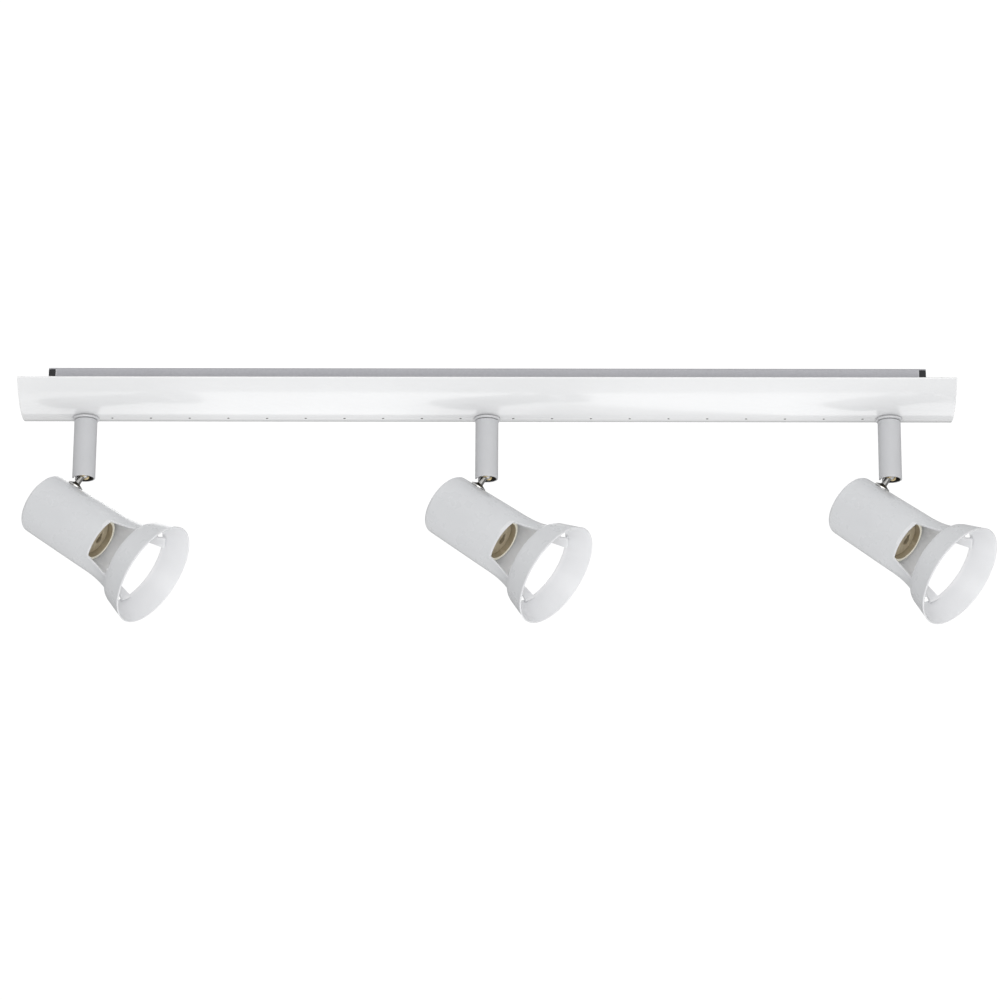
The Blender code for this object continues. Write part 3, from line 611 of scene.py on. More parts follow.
def cover_plate():
    """The arched sheet, with its row of tiny holes and the three stem holes."""
    centre = (0, PLATE_BOTTOM + PLATE_RADIUS)
    low, high = 270 - PLATE_HALF_ANGLE, 270 + PLATE_HALF_ANGLE
    outline = arc(centre, PLATE_RADIUS, low, high, 96) + arc(centre, PLATE_RADIUS - SHEET, high, low, 96)
    sheet = softened(prism(outline, PLATE_LOW.x, PLATE_HIGH.x), 0.00025)
    end = PLATE_HIGH.x - EDGE_BAND
    with_loops(sheet, [((x, 0, 0), X_AXIS) for x in (-end, end)])
    bay = HEAD_FRAMES["right"].translation.x - 2 * PIN_HOLE_MARGIN
    steps = [PIN_HOLE_MARGIN + i * bay / (PIN_HOLES_PER_BAY - 1) for i in range(PIN_HOLES_PER_BAY)]
    holes = [(way * x, PIN_HOLE_RADIUS, GAP, 2 * PIN_HOLE_RADIUS, 16) for way in (-1, 1) for x in steps]
    stem_hole, stem_side = SPIGOT_RADIUS + GAP, SPIGOT_RADIUS + EDGE_BAND
    holes += [
        (place.translation.x, stem_hole, stem_side - stem_hole, stem_side, 40)
        for place in STEM_FRAMES.values()
    ]
    drills = []
    for x, radius, band, reach, sides in holes:
        drills.append(rod(radius, PLATE_BOTTOM - 0.004, PLATE_BOTTOM + 0.004, sides, "Z", (x, 0, 0)))
        with_loops(sheet, [((x + way * (radius + band), 0, 0), X_AXIS) for way in (-1, 1)], reach)
    return carved(sheet, [merged(*drills)])


def ceiling_rail():
    """A folded channel, its web against the ceiling, with fixing slots, a cable entry and two screw holes."""
    half, top, bottom = RAIL_HIGH.y, RAIL_HIGH.z, RAIL_LOW.z
    inner, bend = half - SHEET, RAIL_INSIDE_BEND
    outline = [(-half, bottom), (-inner, bottom)]
    outline += arc((-inner + bend, top - SHEET - bend), bend, 180, 90, 4)
    outline += arc((inner - bend, top - SHEET - bend), bend, 90, 0, 4)
    outline += [(inner, bottom), (half, bottom)]
    outline += arc((half - RAIL_BEND, top - RAIL_BEND), RAIL_BEND, 0, 90, 8)
    outline += arc((-half + RAIL_BEND, top - RAIL_BEND), RAIL_BEND, 90, 180, 8)
    channel = softened(prism(outline, RAIL_LOW.x, RAIL_HIGH.x), 0.0002, 2, 50)
    end, wall_end = RAIL_HIGH.x - EDGE_BAND, RAIL_HIGH.x - RAIL_WALL_SETBACK - EDGE_BAND
    flat = half - RAIL_BEND - EDGE_BAND
    planes = [((x, 0, 0), X_AXIS) for x in (-end, -wall_end, wall_end, end)]
    planes += [((0, y, 0), Y_AXIS) for y in (-flat, flat)]
    planes += [((0, 0, z), Z_AXIS) for z in (bottom + EDGE_BAND, top - RAIL_BEND - EDGE_BAND)]
    with_loops(channel, planes)
    above, below = top + 0.004, top - 0.004
    drills = [
        rod(radius, below, above, sides, "Z", (middle_of(name).x, 0, 0))
        for name, radius, sides in (
            ("cable_grommet", CABLE_ENTRY_RADIUS, 48), ("earth_screw", EARTH_HOLE, 24),
            ("terminal_screw", SCREW_HOLE, 24),
        )
    ]
    for way in (-1, 1):
        slot = arc((way * FIXING_SLOT_X + FIXING_SLOT_RUN, 0), FIXING_SLOT_RADIUS, -90, 90, 12)
        slot += arc((way * FIXING_SLOT_X - FIXING_SLOT_RUN, 0), FIXING_SLOT_RADIUS, 90, 270, 12)
        drills.append(prism(slot, below, above, "Z"))
        corner = (way * (RAIL_HIGH.x - RAIL_WALL_SETBACK), -half - 0.01, bottom - 0.01)
        drills.append(block(corner, (way * (RAIL_HIGH.x + 0.01), half + 0.01, top - SHEET)))
    return carved(channel, [merged(*drills)])


def end_plug(side):
    """A moulded plug: an end flange with a ribbed insert that grips the channel."""
    low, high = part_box(f"rail_end_plug_{side}")
    way = 1 if side == "right" else -1
    outside = high.x if way > 0 else low.x
    shoulder = outside - way * (RAIL_WALL_SETBACK - GAP)
    tip = shoulder - way * PLUG_INSERT
    inner = high.y - SHEET - GAP
    flange = softened(block((shoulder, low.y, low.z), (outside, high.y, high.z)), 0.0004)
    insert = block((tip, -inner, low.z), (shoulder + way * OVERRUN, inner, high.z - 0.0001))
    pockets = []
    for i in range(PLUG_POCKETS):
        y = (i - (PLUG_POCKETS - 1) / 2) * PLUG_POCKET_PITCH
        corner = (tip - way * OVERRUN, y - PLUG_POCKET_HALF, low.z + 0.0014)
        pockets.append(block(corner, (shoulder - way * 0.0020, y + PLUG_POCKET_HALF, high.z - 0.0016)))
    bore = rod(0.0012, outside - 0.02, outside + 0.02, 24, "X", (0, 0, middle_of(f"cover_screw_{side}").z))
    return carved(flange, [merged(*pockets), bore], [softened(insert, 0.0004)])


def end_bracket(side):
    """A folded strip: its foot is welded to the plate, and its upright is screwed to the end plug."""
    low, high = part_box(f"cover_end_bracket_{side}")
    way = 1 if side == "right" else -1
    near, far = (low.x, high.x) if way > 0 else (high.x, low.x)
    bend = 0.0022
    inside = near + way * bend
    outline = [(near, high.z), (near, low.z + bend)]
    outline += [(inside + way * x, low.z + bend + z) for x, z in arc((0, 0), bend, 180, 270, 6)[1:]]
    outline += [(far, low.z), (far, low.z + SHEET)]
    outline += [(inside + way * x, low.z + bend + z) for x, z in arc((0, 0), bend - SHEET, 270, 180, 6)]
    outline += [(near + way * SHEET, high.z)]
    strip = softened(prism(outline, low.y, high.y, "Y"), 0.0002, 2, 50)
    screw_z = middle_of(f"cover_screw_{side}").z
    return carved(strip, [rod(SCREW_HOLE, near - 0.005, near + 0.005, 24, "X", (0, 0, screw_z))])


def threaded(radius, start, end, pitch, depth=0.00022):
    """Profile points of a screwed length between two stations."""
    turns = max(1, int(abs(end - start) / pitch))
    step = (end - start) / turns
    points = []
    for i in range(turns):
        points += [(radius - depth, start + i * step), (radius, start + (i + 0.5) * step)]
    return points + [(radius - depth, end)]


def pan_screw(length, shank=0.0015, head=0.0027, height=SCREW_HEAD):
    """A cross-recess screw along +X: its head's underside is at the origin and its head is towards -X."""
    rises = (1.15, 0.8, 0.4, 0)
    profile = [(0, -height)]
    profile += [(head * math.cos(a), -height * (0.35 + 0.65 * math.sin(a))) for a in rises]
    profile += [(head, 0), (shank, 0)]
    profile += threaded(shank, 0.0006, length - 0.0008, 0.0007, 0.00018)
    profile += [(0.4 * shank, length), (0, length)]
    top, floor, reach, slit = -height - OVERRUN, -0.45 * height, 0.62 * head, 0.16 * head
    recess = [block((top, -y, -z), (floor, y, z)) for y, z in ((reach, slit), (slit, reach))]
    return carved(turned(profile, 28, closed=False), recess)


def slotted_screw(length, shank, head, height):
    """A cheese-head screw with a plain slot, along +X, with a flat washer under its head."""
    profile = ((0, -height), (head - 0.0005, -height), (head, -height + 0.0005), (head, -0.0005))
    profile += ((shank, -0.0005), (shank, length), (0, length))
    inside, outside = shank + 0.0001, head + 0.0009
    washer = turned(((inside, -0.0004), (outside, -0.0004), (outside, -0.0001), (inside, -0.0001)), 40)
    wide, floor = head + OVERRUN, -height + 0.0009
    slit = block((-height - OVERRUN, -wide, -0.0004), (floor, wide, 0.0004))
    return merged(carved(turned(profile, 32, closed=False), [slit]), washer)


def earth_screw(length):
    return slotted_screw(length, 0.0018, 0.0036, EARTH_SCREW_HEAD)


def clamp_places():
    """The middles, from below, of the wells that hold the terminal block's clamping screws."""
    middle = middle_of("terminal_block").x
    return [(x, y) for y in (-CABLE_WAY_Y, CABLE_WAY_Y) for x in (middle - CLAMP_X, middle + CLAMP_X)]


def terminal_block():
    """The moulded block: cable ways from end to end, four screw wells, a groove and a fixing hole."""
    low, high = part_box("terminal_block")
    middle, under = (low.x + high.x) / 2, low.z - OVERRUN
    ends = (low.x - OVERRUN, high.x + OVERRUN)
    corner = (middle - 0.0011, low.y - OVERRUN, under)
    cutters = [block(corner, (middle + 0.0011, high.y + OVERRUN, low.z + 0.0016))]
    for y in (-CABLE_WAY_Y, CABLE_WAY_Y):
        cutters.append(rod(0.0020, *ends, 24, "X", (0, y, high.z - CABLE_WAY_DROP)))
    for x, y in clamp_places():
        cutters.append(rod(0.0023, under, low.z + 0.0038, 24, "Z", (x, y, 0)))
    cutters.append(rod(SCREW_HOLE, under, high.z + OVERRUN, 24, "Z", (middle, 0, 0)))
    return carved(softened(block(low, high), 0.0006, 3), cutters)


def terminal_clamps():
    """The brass clamping screws in the block's wells."""
    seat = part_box("terminal_block")[0].z + 0.0022
    screws = []
    for x, y in clamp_places():
        place = Matrix.Translation((x, y, seat)) @ SCREW_UPRIGHT
        screws.append(moved(slotted_screw(0.0014, 0.0014, 0.0019, 0.0016), place))
    return merged(*screws)


def cable_grommet():
    """A soft ring round the cable entry, grooved for the rail's web."""
    low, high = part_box("cable_grommet")
    rim, groove, bore = (high.x - low.x) / 2, CABLE_ENTRY_RADIUS - GAP, 0.0050
    web, soft = -SHEET - GAP, 0.0006
    profile = [(bore, low.z + soft)] + arc((bore + soft, low.z + soft), soft, 180, 270, 4)
    profile += arc((rim - soft, web - 0.0007), soft, -90, 0, 4)
    profile += [(rim, web), (groove, web), (groove, high.z - 0.0004), (groove - 0.0004, high.z)]
    profile += arc((bore + 0.0005, high.z - 0.0005), 0.0005, 90, 180, 4)
    return turned(profile, 48, axis="Z")


def bar_lead_points(side):
    """From the terminal block along the rail to the axis of the stem and down into its bore."""
    low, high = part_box("terminal_block")
    way, y, stations = {
        "left": (-1, -CABLE_WAY_Y, (-0.110, -0.175, -0.235)),
        "right": (1, CABLE_WAY_Y, (0.050, 0.150, 0.235)),
        "middle": (1, -CABLE_WAY_Y, (-0.022, -0.012)),
    }[side]
    z = high.z - CABLE_WAY_DROP
    run_z = z - 0.0015
    stem_x = STEM_FRAMES[side].translation.x
    start = (high.x if way > 0 else low.x) + way * GAP
    points = [(start, y, z), (start + way * 0.004, y, z)]
    points += [(x, 1.3 * y, run_z) for x in stations[:-1]]
    points += [(stations[-1], 0.5 * y, run_z), (stem_x - way * 0.0035, 0, -0.0130)]
    return points + [(stem_x, 0, down) for down in (-0.0185, -0.0260, PLATE_BOTTOM - 0.0100)]


# The stems

def collar():
    """The flat ring between the plate and the tube, its lower rim rounded."""
    radius, bore = COLLAR_HIGH.x, SPIGOT_RADIUS + GAP
    low, high = COLLAR_LOW.z, COLLAR_HIGH.z
    profile = [(bore, low)] + arc((radius - 0.0004, low + 0.0004), 0.0004, -90, 0, 4)
    profile += arc((radius - 0.0001, high - 0.0001), 0.0001, 0, 90, 2) + [(bore, high)]
    return turned(profile, 72, axis="Z")


def stem_tube():
    """The tube with its threaded spigot, and the slot in its back that the swivel's neck swings into."""
    rim, shoulder, tip, soft = STEM_LOW.z, STEM_TOP - 0.0025, STEM_HIGH.z, 0.0004
    profile = arc((STEM_RADIUS - 0.0003, rim + 0.0003), 0.0003, 270, 360, 4)
    profile += [(STEM_RADIUS, z) for z in (rim + EDGE_BAND, PIVOT_Z + 0.0040, STEM_TOP - soft - EDGE_BAND)]
    profile += arc((STEM_RADIUS - soft, STEM_TOP - soft), soft, 0, 90, 4)
    profile += [(SPIGOT_RADIUS, STEM_TOP)]
    profile += threaded(SPIGOT_RADIUS, COLLAR_HIGH.z + soft, tip - soft, THREAD_PITCH)
    profile += [(SPIGOT_RADIUS - 0.0005, tip), (SPIGOT_BORE, tip)]
    profile += [(SPIGOT_BORE, shoulder), (STEM_BORE, shoulder)]
    profile += arc((STEM_BORE + 0.0003, rim + 0.0003), 0.0003, 180, 270, 4)
    half = NECK_RADIUS + 0.00035
    outline = [(-half, rim - 0.005), (half, rim - 0.005)] + arc((0, PIVOT_Z), half, 0, 180, 16)
    return carved(turned(profile, 72, axis="Z"), [prism(outline, -0.012, -0.002)])


def hex_nut(corners, hole, low, high):
    """A hexagon nut along +Z, its corners chamfered by a cone at each end."""
    flats = corners * math.cos(math.pi / 6)
    drop, over = 0.6 * (corners - flats), 0.0001
    cones = ((0, low - over), (flats, low), (corners, low + drop))
    cones += ((corners, high - drop), (flats, high), (0, high + over))
    nut = prism(arc((0, 0), corners, 0, 300, 5), low, high, "Z")
    bore = rod(hole, low - OVERRUN, high + OVERRUN, 40, "Z")
    trimmed = carved(nut, envelopes=[turned(cones, 48, closed=False, axis="Z")])
    return carved(trimmed, [bore])


def swivel_fork():
    """The brass plug in the tube, with two ears for the pin and a way for the lead."""
    ear_inside, ear_half = NECK_RADIUS + GAP, 0.0031
    root = PIVOT_Z + EYE_RADIUS + 0.0004
    top = root + 0.0090
    plug = softened(rod(STEM_BORE - GAP, root, top, 48, "Z"), 0.0003)
    ears = []
    for way in (-1, 1):
        outline = arc((0, PIVOT_Z), ear_half, 180, 360, 20)
        outline += [(ear_half, root + 0.001), (-ear_half, root + 0.001)]
        sides = sorted((way * ear_inside, way * (ear_inside + FORK_EAR)))
        ears.append(softened(prism(outline, *sides, "Y"), 0.0002))
    holes = [
        rod(PIN_RADIUS + 0.0001, -0.01, 0.01, 32, "Y", (0, 0, PIVOT_Z)),
        rod(0.0026, root - OVERRUN, top + OVERRUN, 32, "Z", (0.0018, 0, 0)),
    ]
    return carved(plug, holes, ears)


def swivel_pin():
    """The pin, its ends peened to low domes."""
    end = NECK_RADIUS + GAP + FORK_EAR + 0.0004
    profile = [(0, -end), (0.6 * PIN_RADIUS, -end + 0.0001), (PIN_RADIUS, -end + 0.0004)]
    profile += [(radius, -station) for radius, station in reversed(profile)]
    return moved(turned(profile, 32, closed=False, axis="Y"), Matrix.Translation((0, 0, PIVOT_Z)))


# The heads, each in the frame of its tilt pin

def strap_top():
    """The height of the strap's top, just inside the body."""
    reach = BODY_BACK_RADIUS - SHEET - 0.0005
    return -HEAD_DROP + math.sqrt(reach ** 2 - STRAP_HALF ** 2)


def swivel_tongue():
    """Eye, stop heel, neck, a small cone seated on the body, and the threaded stub below it."""
    surface = -HEAD_DROP + BODY_BACK_RADIUS + 0.0002
    profile = [(0, -0.0015), (NECK_RADIUS, -0.0015), (NECK_RADIUS, surface + 0.0026)]
    profile += arc((NECK_RADIUS + 0.0008, surface + 0.0026), 0.0008, 180, 235, 4)
    profile += arc((CONE_RADIUS - 0.0004, surface + 0.0004), 0.0004, 60, 0, 4)
    profile += [(CONE_RADIUS, surface - 0.0012), (0, surface - 0.0012)]
    saddle = moved(rod(BODY_BACK_RADIUS + 0.0005, -0.02, 0.02, 128), HEAD_AXIS)
    neck = carved(turned(profile, 56, closed=False, axis="Z"), [saddle])
    eye = softened(rod(EYE_RADIUS, -NECK_RADIUS + 0.0001, NECK_RADIUS - 0.0001, 48, "Y"), 0.0003)
    heel = block((0.0005, -0.0017, 0.0005), (0.0028, 0.0017, 0.0028))
    tip = strap_top() - SHEET - 0.0030
    profile = [(0, tip), (STUB_RADIUS - 0.0004, tip)]
    profile += threaded(STUB_RADIUS, tip + 0.0003, surface - 0.0020, 0.0008, 0.00018)
    profile += [(STUB_RADIUS, surface + 0.0012), (0, surface + 0.0012)]
    stub = turned(profile, 40, closed=False, axis="Z")
    return carved(neck, [rod(PIN_RADIUS + 0.0001, -0.01, 0.01, 32, "Y")], [eye, heel, stub])


def shell_radius(station):
    """The outer radius of the shell: a straight taper, then a flare into the arms."""
    share = (station - HEAD_BACK) / (FLARE_START - HEAD_BACK)
    if share <= 1:
        return BODY_BACK_RADIUS + share * (BODY_FRONT_RADIUS - BODY_BACK_RADIUS)
    flare = (station - FLARE_START) / (FLARE_END - FLARE_START)
    return BODY_FRONT_RADIUS + FLARE_RISE * flare ** FLARE_POWER


def head_shell():
    """A spun cup with a rounded back; its front is cut into two arms, and each arm ends in two fingers."""
    corner = (BODY_BACK_RADIUS - BACK_ROUNDING, HEAD_BACK + BACK_ROUNDING)
    profile = [(corner[0] * i / 4, HEAD_BACK) for i in range(4)] + arc(corner, BACK_ROUNDING, 270, 360, 10)
    straight = [corner[1] + (FLARE_START - corner[1]) * i / 8 for i in range(1, 9)]
    flare = [FLARE_START + (ARM_TIP - FLARE_START) * i / 24 for i in range(1, 25)]
    profile += [(shell_radius(station), station) for station in straight + flare]
    bm = turned(profile, 128, closed=False)
    lean = Vector((-WINDOW_TAPER, 0, 1)).normalized()
    for point, normal in (
        ((WINDOW_START, 0, 0), X_AXIS),
        ((WINDOW_START, 0, WINDOW_HALF_HEIGHT), lean),
        ((WINDOW_START, 0, -WINDOW_HALF_HEIGHT), Vector((lean.x, 0, -lean.z))),
        ((NOTCH_START, 0, 0), X_AXIS),
        ((0, NOTCH_HALF_WIDTH, 0), Y_AXIS),
        ((0, -NOTCH_HALF_WIDTH, 0), Y_AXIS),
    ):
        everything = bm.verts[:] + bm.edges[:] + bm.faces[:]
        bmesh.ops.bisect_plane(bm, geom=everything, dist=WELD, plane_co=point, plane_no=normal)
    open_parts = []
    for face in bm.faces:
        x, y, z = face.calc_center_median()
        in_window = x > WINDOW_START and abs(z) < WINDOW_HALF_HEIGHT + WINDOW_TAPER * (x - WINDOW_START)
        if in_window or (x > NOTCH_START and abs(y) < NOTCH_HALF_WIDTH):
            open_parts.append(face)
    bmesh.ops.delete(bm, geom=open_parts, context="FACES")
    faced_outward(cleaned(bm))
    bmesh.ops.solidify(bm, geom=bm.faces[:], thickness=SHEET)
    return moved(softened(cleaned(bm), 0.00022, 2, 50), HEAD_AXIS)


def shade_ring():
    """The open tapered ring, its back edge turned in a little and its front edge rounded."""
    lip, steps = RING_WALL / 2, 12
    back, front = RING_BACK + RING_TURN, HEAD_FRONT - lip
    outward = [back + (front - back) * i / steps for i in range(1, steps)]
    homeward = [front + (back - front) * i / steps for i in range(1, steps)]
    profile = [(RING_BACK_RADIUS - RING_WALL, RING_BACK + 0.0004)]
    profile += arc((RING_BACK_RADIUS - RING_TURN, back), RING_TURN, 290, 350, 6)
    profile += [(RING_BACK_RADIUS + RING_SLOPE * (station - RING_BACK), station) for station in outward]
    profile += arc((RING_FRONT_RADIUS - lip, front), lip, 0, 180, 8)
    inside = RING_BACK_RADIUS - RING_WALL
    profile += [(inside + RING_SLOPE * (station - RING_BACK), station) for station in homeward]
    return moved(turned(profile, 144), HEAD_AXIS)


def keyholes(bottom, top):
    """Cutters for the lamp pins' two round entries, each with a narrower curved tail where a pin locks."""
    cutters = []
    for way, start in ((-1, 180), (1, 0)):
        tail = arc((0, 0), LAMP_PIN_OFFSET + LAMP_PIN_TAIL, start, start + LAMP_PIN_TURN, 12)
        tail += arc((0, 0), LAMP_PIN_OFFSET - LAMP_PIN_TAIL, start + LAMP_PIN_TURN, start, 12)
        cutters.append(rod(LAMP_PIN_ENTRY, bottom, top, 32, "X", (0, way * LAMP_PIN_OFFSET, 0)))
        cutters.append(prism(tail, bottom + 0.0002, top + 0.0002))
    return cutters


def lamp_socket():
    """The ceramic block with its collar, raised rim, recessed face and two screw holes."""
    floor = SOCKET_FACE - SOCKET_RECESS - 0.0012
    inner, waist = SOCKET_RADIUS - SOCKET_RIM, SOCKET_RADIUS - 0.0012
    profile = [(0, SOCKET_BACK), (waist - 0.0018, SOCKET_BACK)]
    profile += arc((waist - 0.0014, SOCKET_BACK + 0.0014), 0.0014, 290, 360, 4)
    profile += [(waist, SOCKET_FACE - 0.0075), (SOCKET_RADIUS, SOCKET_FACE - 0.0063)]
    profile += arc((SOCKET_RADIUS - 0.0005, SOCKET_FACE - 0.0005), 0.0005, 0, 90, 5)
    profile += arc((inner + 0.0003, SOCKET_FACE - 0.0003), 0.0003, 90, 180, 4)
    profile += [(inner - 0.0006, floor), (0, floor)]
    cutters = keyholes(SOCKET_FACE - 0.0120, SOCKET_FACE)
    for way in (-1, 1):
        place = (0, way * SOCKET_SCREW_Y, 0)
        cutters.append(rod(SCREW_HOLE, SOCKET_BACK - OVERRUN, SOCKET_BACK + 0.007, 24, "X", place))
    return moved(carved(turned(profile, 96, closed=False), cutters), HEAD_AXIS)


def socket_face():
    """The insulating disc in the lampholder's recess, its darker colour painted shade: two keyholes, a middle
    boss and two short ribs.
    """
    top = SOCKET_FACE - SOCKET_RECESS
    floor = top - 0.0011
    disc = softened(rod(SOCKET_RADIUS - SOCKET_RIM - 0.0010, floor, top, 96), 0.0002)
    raised = [softened(rod(0.0018, top - 0.0005, top + 0.0006, 32), 0.0002)]
    for z in (-0.0085, 0.0085):
        rib = block((top - 0.0004, -0.0006, z - 0.0028), (top + 0.0009, 0.0006, z + 0.0028))
        raised.append(softened(rib, 0.00015))
    return moved(carved(disc, keyholes(floor - OVERRUN, top + 2 * OVERRUN), raised), HEAD_AXIS)


def socket_contacts():
    """The two spring contacts, each a folded strip behind its keyhole."""
    low, high, half = SOCKET_FACE - 0.0105, SOCKET_FACE - 0.0060, 0.0011
    outline = [(low, -0.0022), (high, -0.0022), (high, -0.0016), (low + 0.0006, -0.0016)]
    outline += [(low + 0.0006, 0.0016), (high - 0.0008, 0.0010), (high - 0.0006, 0.0015), (low, 0.0022)]
    middles = (-LAMP_PIN_OFFSET, LAMP_PIN_OFFSET)
    return moved(merged(*[prism(outline, y - half, y + half, "Y") for y in middles]), HEAD_AXIS)


def socket_strap():
    """A folded strap: its top is clamped under the swivel's nut, and its leg carries the lampholder."""
    half, bend, front, top = STRAP_HALF, 0.0020, SOCKET_BACK - GAP, strap_top() + HEAD_DROP
    outline = [(-0.0055, top), (-0.0055, top - SHEET)]
    outline += arc((front - bend, top - bend), bend - SHEET, 90, 0, 6)
    outline += [(front - SHEET, -half), (front, -half)]
    outline += arc((front - bend, top - bend), bend, 0, 90, 6)
    strap = softened(prism(outline, -half, half, "Y"), 0.0002, 2, 50)
    wings = softened(block((front - SHEET, -0.0105, -0.0040), (front, 0.0105, 0.0040)), 0.0002)
    cutters = [rod(STUB_RADIUS + GAP, 0, 0.03, 32, "Z")]
    for radius, y, sides in (
        (SCREW_HOLE, -SOCKET_SCREW_Y, 24), (SCREW_HOLE, SOCKET_SCREW_Y, 24), (0.0028, 0, 32),
    ):
        cutters.append(rod(radius, front - 0.006, front + 0.005, sides, "X", (0, y, 0)))
    return moved(carved(strap, cutters, [wings]), HEAD_AXIS)


def socket_lead_points():
    """From the back of the lampholder, round the inside of the body and up beside the swivel's nut."""
    stations = (SOCKET_BACK - 0.0006, 0.0070, 0.0015, -0.0035, -0.0072, -0.0086)
    heights = (0, 0, 0.0010, 0.0045, 0.0095, 0.0150)
    return [(x, 0, -HEAD_DROP + z) for x, z in zip(stations, heights)]


# Where a piece shows its second finish, from a face's centre and normal in the piece's own frame: painted
# shade in holes, the stem's bore and the lampholder's recess, and painted light on inner faces

def from_head_axis(point):
    return math.hypot(point.y, point.z + HEAD_DROP)


def in_pin_hole(centre, normal):
    return abs(centre.y) < 0.001 and abs(normal.z) < 0.5 and abs(centre.x) < PLATE_HIGH.x - 0.001


def in_bore(centre, normal):
    return math.hypot(centre.x, centre.y) < STEM_BORE + 0.0002


def in_recess(centre, normal):
    deep = centre.x > SOCKET_BACK + 0.010
    return deep and from_head_axis(centre) < SOCKET_RADIUS - SOCKET_RIM + 0.0001


def faces_head_axis(centre, normal):
    outward = normal.y * centre.y + normal.z * (centre.z + HEAD_DROP)
    return outward < -0.3 * from_head_axis(centre)


ACCENTS = {
    "stem_tube": (HOLE_PAINTED_SHADE, in_bore),
    "lamp_socket": (RECESS_PAINTED_SHADE, in_recess),
    "head_shell": (INSIDE_PAINTED_LIGHT, faces_head_axis),
    "shade_ring": (INSIDE_PAINTED_LIGHT, faces_head_axis),
}


# Assembly

def upright_screw(name, shape, material, head_height):
    """A screw driven upwards, its length and place from its node."""
    low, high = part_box(name)
    seat = Matrix.Translation(((low.x + high.x) / 2, 0, low.z + head_height))
    piece(name, shape(high.z - low.z - head_height), material, "bar", seat @ SCREW_UPRIGHT)


def build_bar():
    piece("cover_plate", cover_plate(), WHITE_GLOSS, "bar", accent=(HOLE_PAINTED_SHADE, in_pin_hole))
    piece("ceiling_rail", ceiling_rail(), GREY_RAIL, "bar")
    for side in ("left", "right"):
        piece(f"rail_end_plug_{side}", end_plug(side), BLACK_PLASTIC, "bar")
        piece(f"cover_end_bracket_{side}", end_bracket(side), ZINC, "bar")
        low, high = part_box(f"cover_screw_{side}")
        seat, turn = (high.x - SCREW_HEAD, math.pi) if side == "right" else (low.x + SCREW_HEAD, 0)
        place = Matrix.Translation((seat, 0, (low.z + high.z) / 2)) @ Matrix.Rotation(turn, 4, "Z")
        piece(f"cover_screw_{side}", pan_screw(0.009), ZINC, "bar", place)
    piece("terminal_block", terminal_block(), CREAM_PLASTIC, "bar")
    piece("terminal_clamps", terminal_clamps(), BRASS, "bar", in_cad=False)
    upright_screw("terminal_screw", pan_screw, ZINC, SCREW_HEAD)
    place = Matrix.Translation((middle_of("cable_grommet").x, 0, 0))
    piece("cable_grommet", cable_grommet(), BLACK_PLASTIC, "bar", place)
    upright_screw("earth_screw", earth_screw, BRASS, EARTH_SCREW_HEAD)
    for side in SIDES:
        piece(f"bar_lead_{side}", tube(bar_lead_points(side), LEAD_RADIUS), LEAD_SLEEVE, "bar")


def build_heads():
    """Each shape is made once and placed three times."""
    seat = strap_top() - SHEET - GAP
    turning = {
        "stem_tube": (stem_tube(), STEM_SATIN_AND_SHADE),
        "swivel_fork": (swivel_fork(), BRASS),
        "stem_nut": (hex_nut(0.0075, SPIGOT_RADIUS + 0.00015, NUT_LOW.z, NUT_HIGH.z), ZINC),
        "swivel_pin": (swivel_pin(), NICKEL),
    }
    tilting = {
        "swivel_tongue": (swivel_tongue(), NICKEL),
        "swivel_nut": (hex_nut(0.0046, STUB_RADIUS + 0.00015, seat - NUT_HEIGHT, seat), ZINC),
        "head_shell": (head_shell(), WHITE_SATIN),
        "shade_ring": (shade_ring(), WHITE_SATIN),
        "lamp_socket": (lamp_socket(), CERAMIC),
        "socket_strap": (socket_strap(), ZINC),
        "socket_lead": (tube(socket_lead_points(), LEAD_RADIUS), LEAD_SLEEVE),
    }
    extras = {"socket_face": (socket_face(), RECESS_PAINTED_SHADE), "socket_contacts": (socket_contacts(), BRASS)}
    ring_collar, screw = collar(), pan_screw(0.0075)
    for side in SIDES:
        stem, head = STEM_FRAMES[side], HEAD_FRAMES[side]
        piece(f"stem_collar_{side}", ring_collar, STEM_SATIN_AND_SHADE, "bar", stem)
        for name, (bm, material) in turning.items():
            piece(f"{name}_{side}", bm, material, f"stem_{side}", stem, ACCENTS.get(name))
        for name, (bm, material) in tilting.items():
            piece(f"{name}_{side}", bm, material, f"head_{side}", head, ACCENTS.get(name))
        for name, (bm, material) in extras.items():
            piece(f"{name}_{side}", bm, material, f"head_{side}", head, in_cad=False)
        for letter, way in (("a", -1), ("b", 1)):
            spot = Matrix.Translation((SOCKET_BACK - 2 * GAP - SHEET, way * SOCKET_SCREW_Y, -HEAD_DROP))
            piece(f"socket_screw_{letter}_{side}", screw, ZINC, f"head_{side}", head @ spot)


# Stage, light and camera

def build_stage():
    """A pale floor well below the bar."""
    bm = bmesh.new()
    bmesh.ops.create_grid(bm, x_segments=1, y_segments=1, size=40)
    bmesh.ops.translate(bm, verts=bm.verts, vec=(0, 0, FLOOR_Z))
    mesh = bpy.data.meshes.new("floor")
    bm.to_mesh(mesh)
    bm.free()
    material = bpy.data.materials.new("pale_floor")
    material.use_nodes = True
    shader = material.node_tree.nodes["Principled BSDF"]
    shader.inputs["Base Color"].default_value = (0.96, 0.96, 0.96, 1)
    shader.inputs["Roughness"].default_value = 0.9
    mesh.materials.append(material)
    floor = bpy.data.objects.new("floor", mesh)
    bpy.context.scene.collection.objects.link(floor)


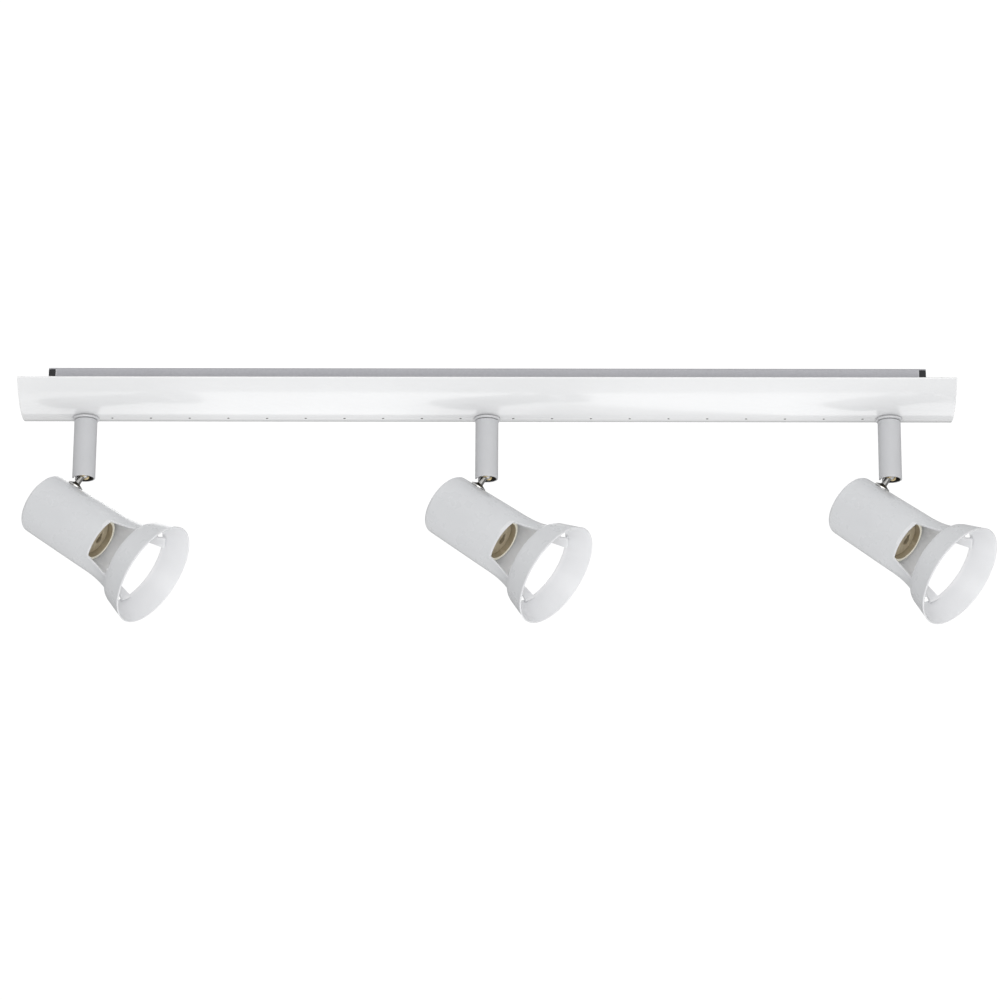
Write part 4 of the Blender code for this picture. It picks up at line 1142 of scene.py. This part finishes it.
def build_world():
    """Seen directly it is plain white; as a light it is softer, darker behind the bar and brighter above."""
    world = bpy.data.worlds.new("studio")
    bpy.context.scene.world = world
    world.use_nodes = True
    w = Wiring(world.node_tree)
    shown = w.add("ShaderNodeBackground", {"Color": (1, 1, 1, 1), "Strength": 1.05})
    light = world.node_tree.nodes["Background"]
    light.inputs["Color"].default_value = (1, 1, 1, 1)
    way = w.add("ShaderNodeTexCoord").outputs["Generated"]
    parts = w.add("ShaderNodeSeparateXYZ", {"Vector": way}).outputs
    overhead = w.spread(parts["Z"], 0.15, 0.6, 0.0, 0.22)
    w.join(w.maths("ADD", overhead, w.spread(parts["Y"], 0.1, 0.95, 0.50, 0.30)), light.inputs["Strength"])
    seen = w.add("ShaderNodeLightPath").outputs["Is Camera Ray"]
    mix = w.add("ShaderNodeMixShader", {0: seen, 1: light.outputs[0], 2: shown.outputs[0]})
    w.join(mix.outputs[0], world.node_tree.nodes["World Output"].inputs["Surface"])


def softbox(name, place, target, size, power):
    data = bpy.data.lights.new(name, "AREA")
    data.shape = "RECTANGLE"
    data.size, data.size_y = size
    data.energy = power
    obj = bpy.data.objects.new(name, data)
    obj.location = place
    obj.rotation_euler = (Vector(target) - Vector(place)).to_track_quat("-Z", "Y").to_euler()
    bpy.context.scene.collection.objects.link(obj)


def build_lights():
    """A broad key in front, two panels that the glossy plate mirrors, and a weak light behind."""
    middle = (0, 0, -0.08)
    softbox("key", (0.45, -2.7, -0.75), middle, (3.2, 2.2), 44)
    softbox("under_left", (-0.27, 0.75, -1.7), (-0.25, 0.2, 0), (0.62, 2.2), 5.5)
    softbox("under_right", (0.47, 0.75, -1.7), (0.35, 0.2, 0), (0.72, 2.2), 6.3)
    softbox("back", (-0.8, 2.4, 1.7), middle, (1.8, 1.2), 9)


def build_camera():
    """Below and square on to the bar, a long way off with a long lens."""
    target, distance = Vector((0.00869, 0, -0.08197)), 2.4877
    rise, yaw, roll = math.radians(17.475), -0.0136, 0.0058
    look = Vector((math.sin(yaw) * math.cos(rise), math.cos(yaw) * math.cos(rise), math.sin(rise)))
    right = Vector((math.cos(yaw), -math.sin(yaw), 0))
    up = right.cross(look)
    rolled_right = math.cos(roll) * right + math.sin(roll) * up
    rolled_up = math.cos(roll) * up - math.sin(roll) * right
    data = bpy.data.cameras.new("camera")
    data.lens, data.sensor_width = 139.87, 36
    camera = bpy.data.objects.new("camera", data)
    camera.matrix_world = axes_matrix(rolled_right, rolled_up, -look, target - distance * look)
    bpy.context.scene.collection.objects.link(camera)
    bpy.context.scene.camera = camera


build_camera()
build_stage()
build_world()
build_lights()
build_bar()
build_heads()
bpy.context.scene.view_settings.view_transform = "Standard"
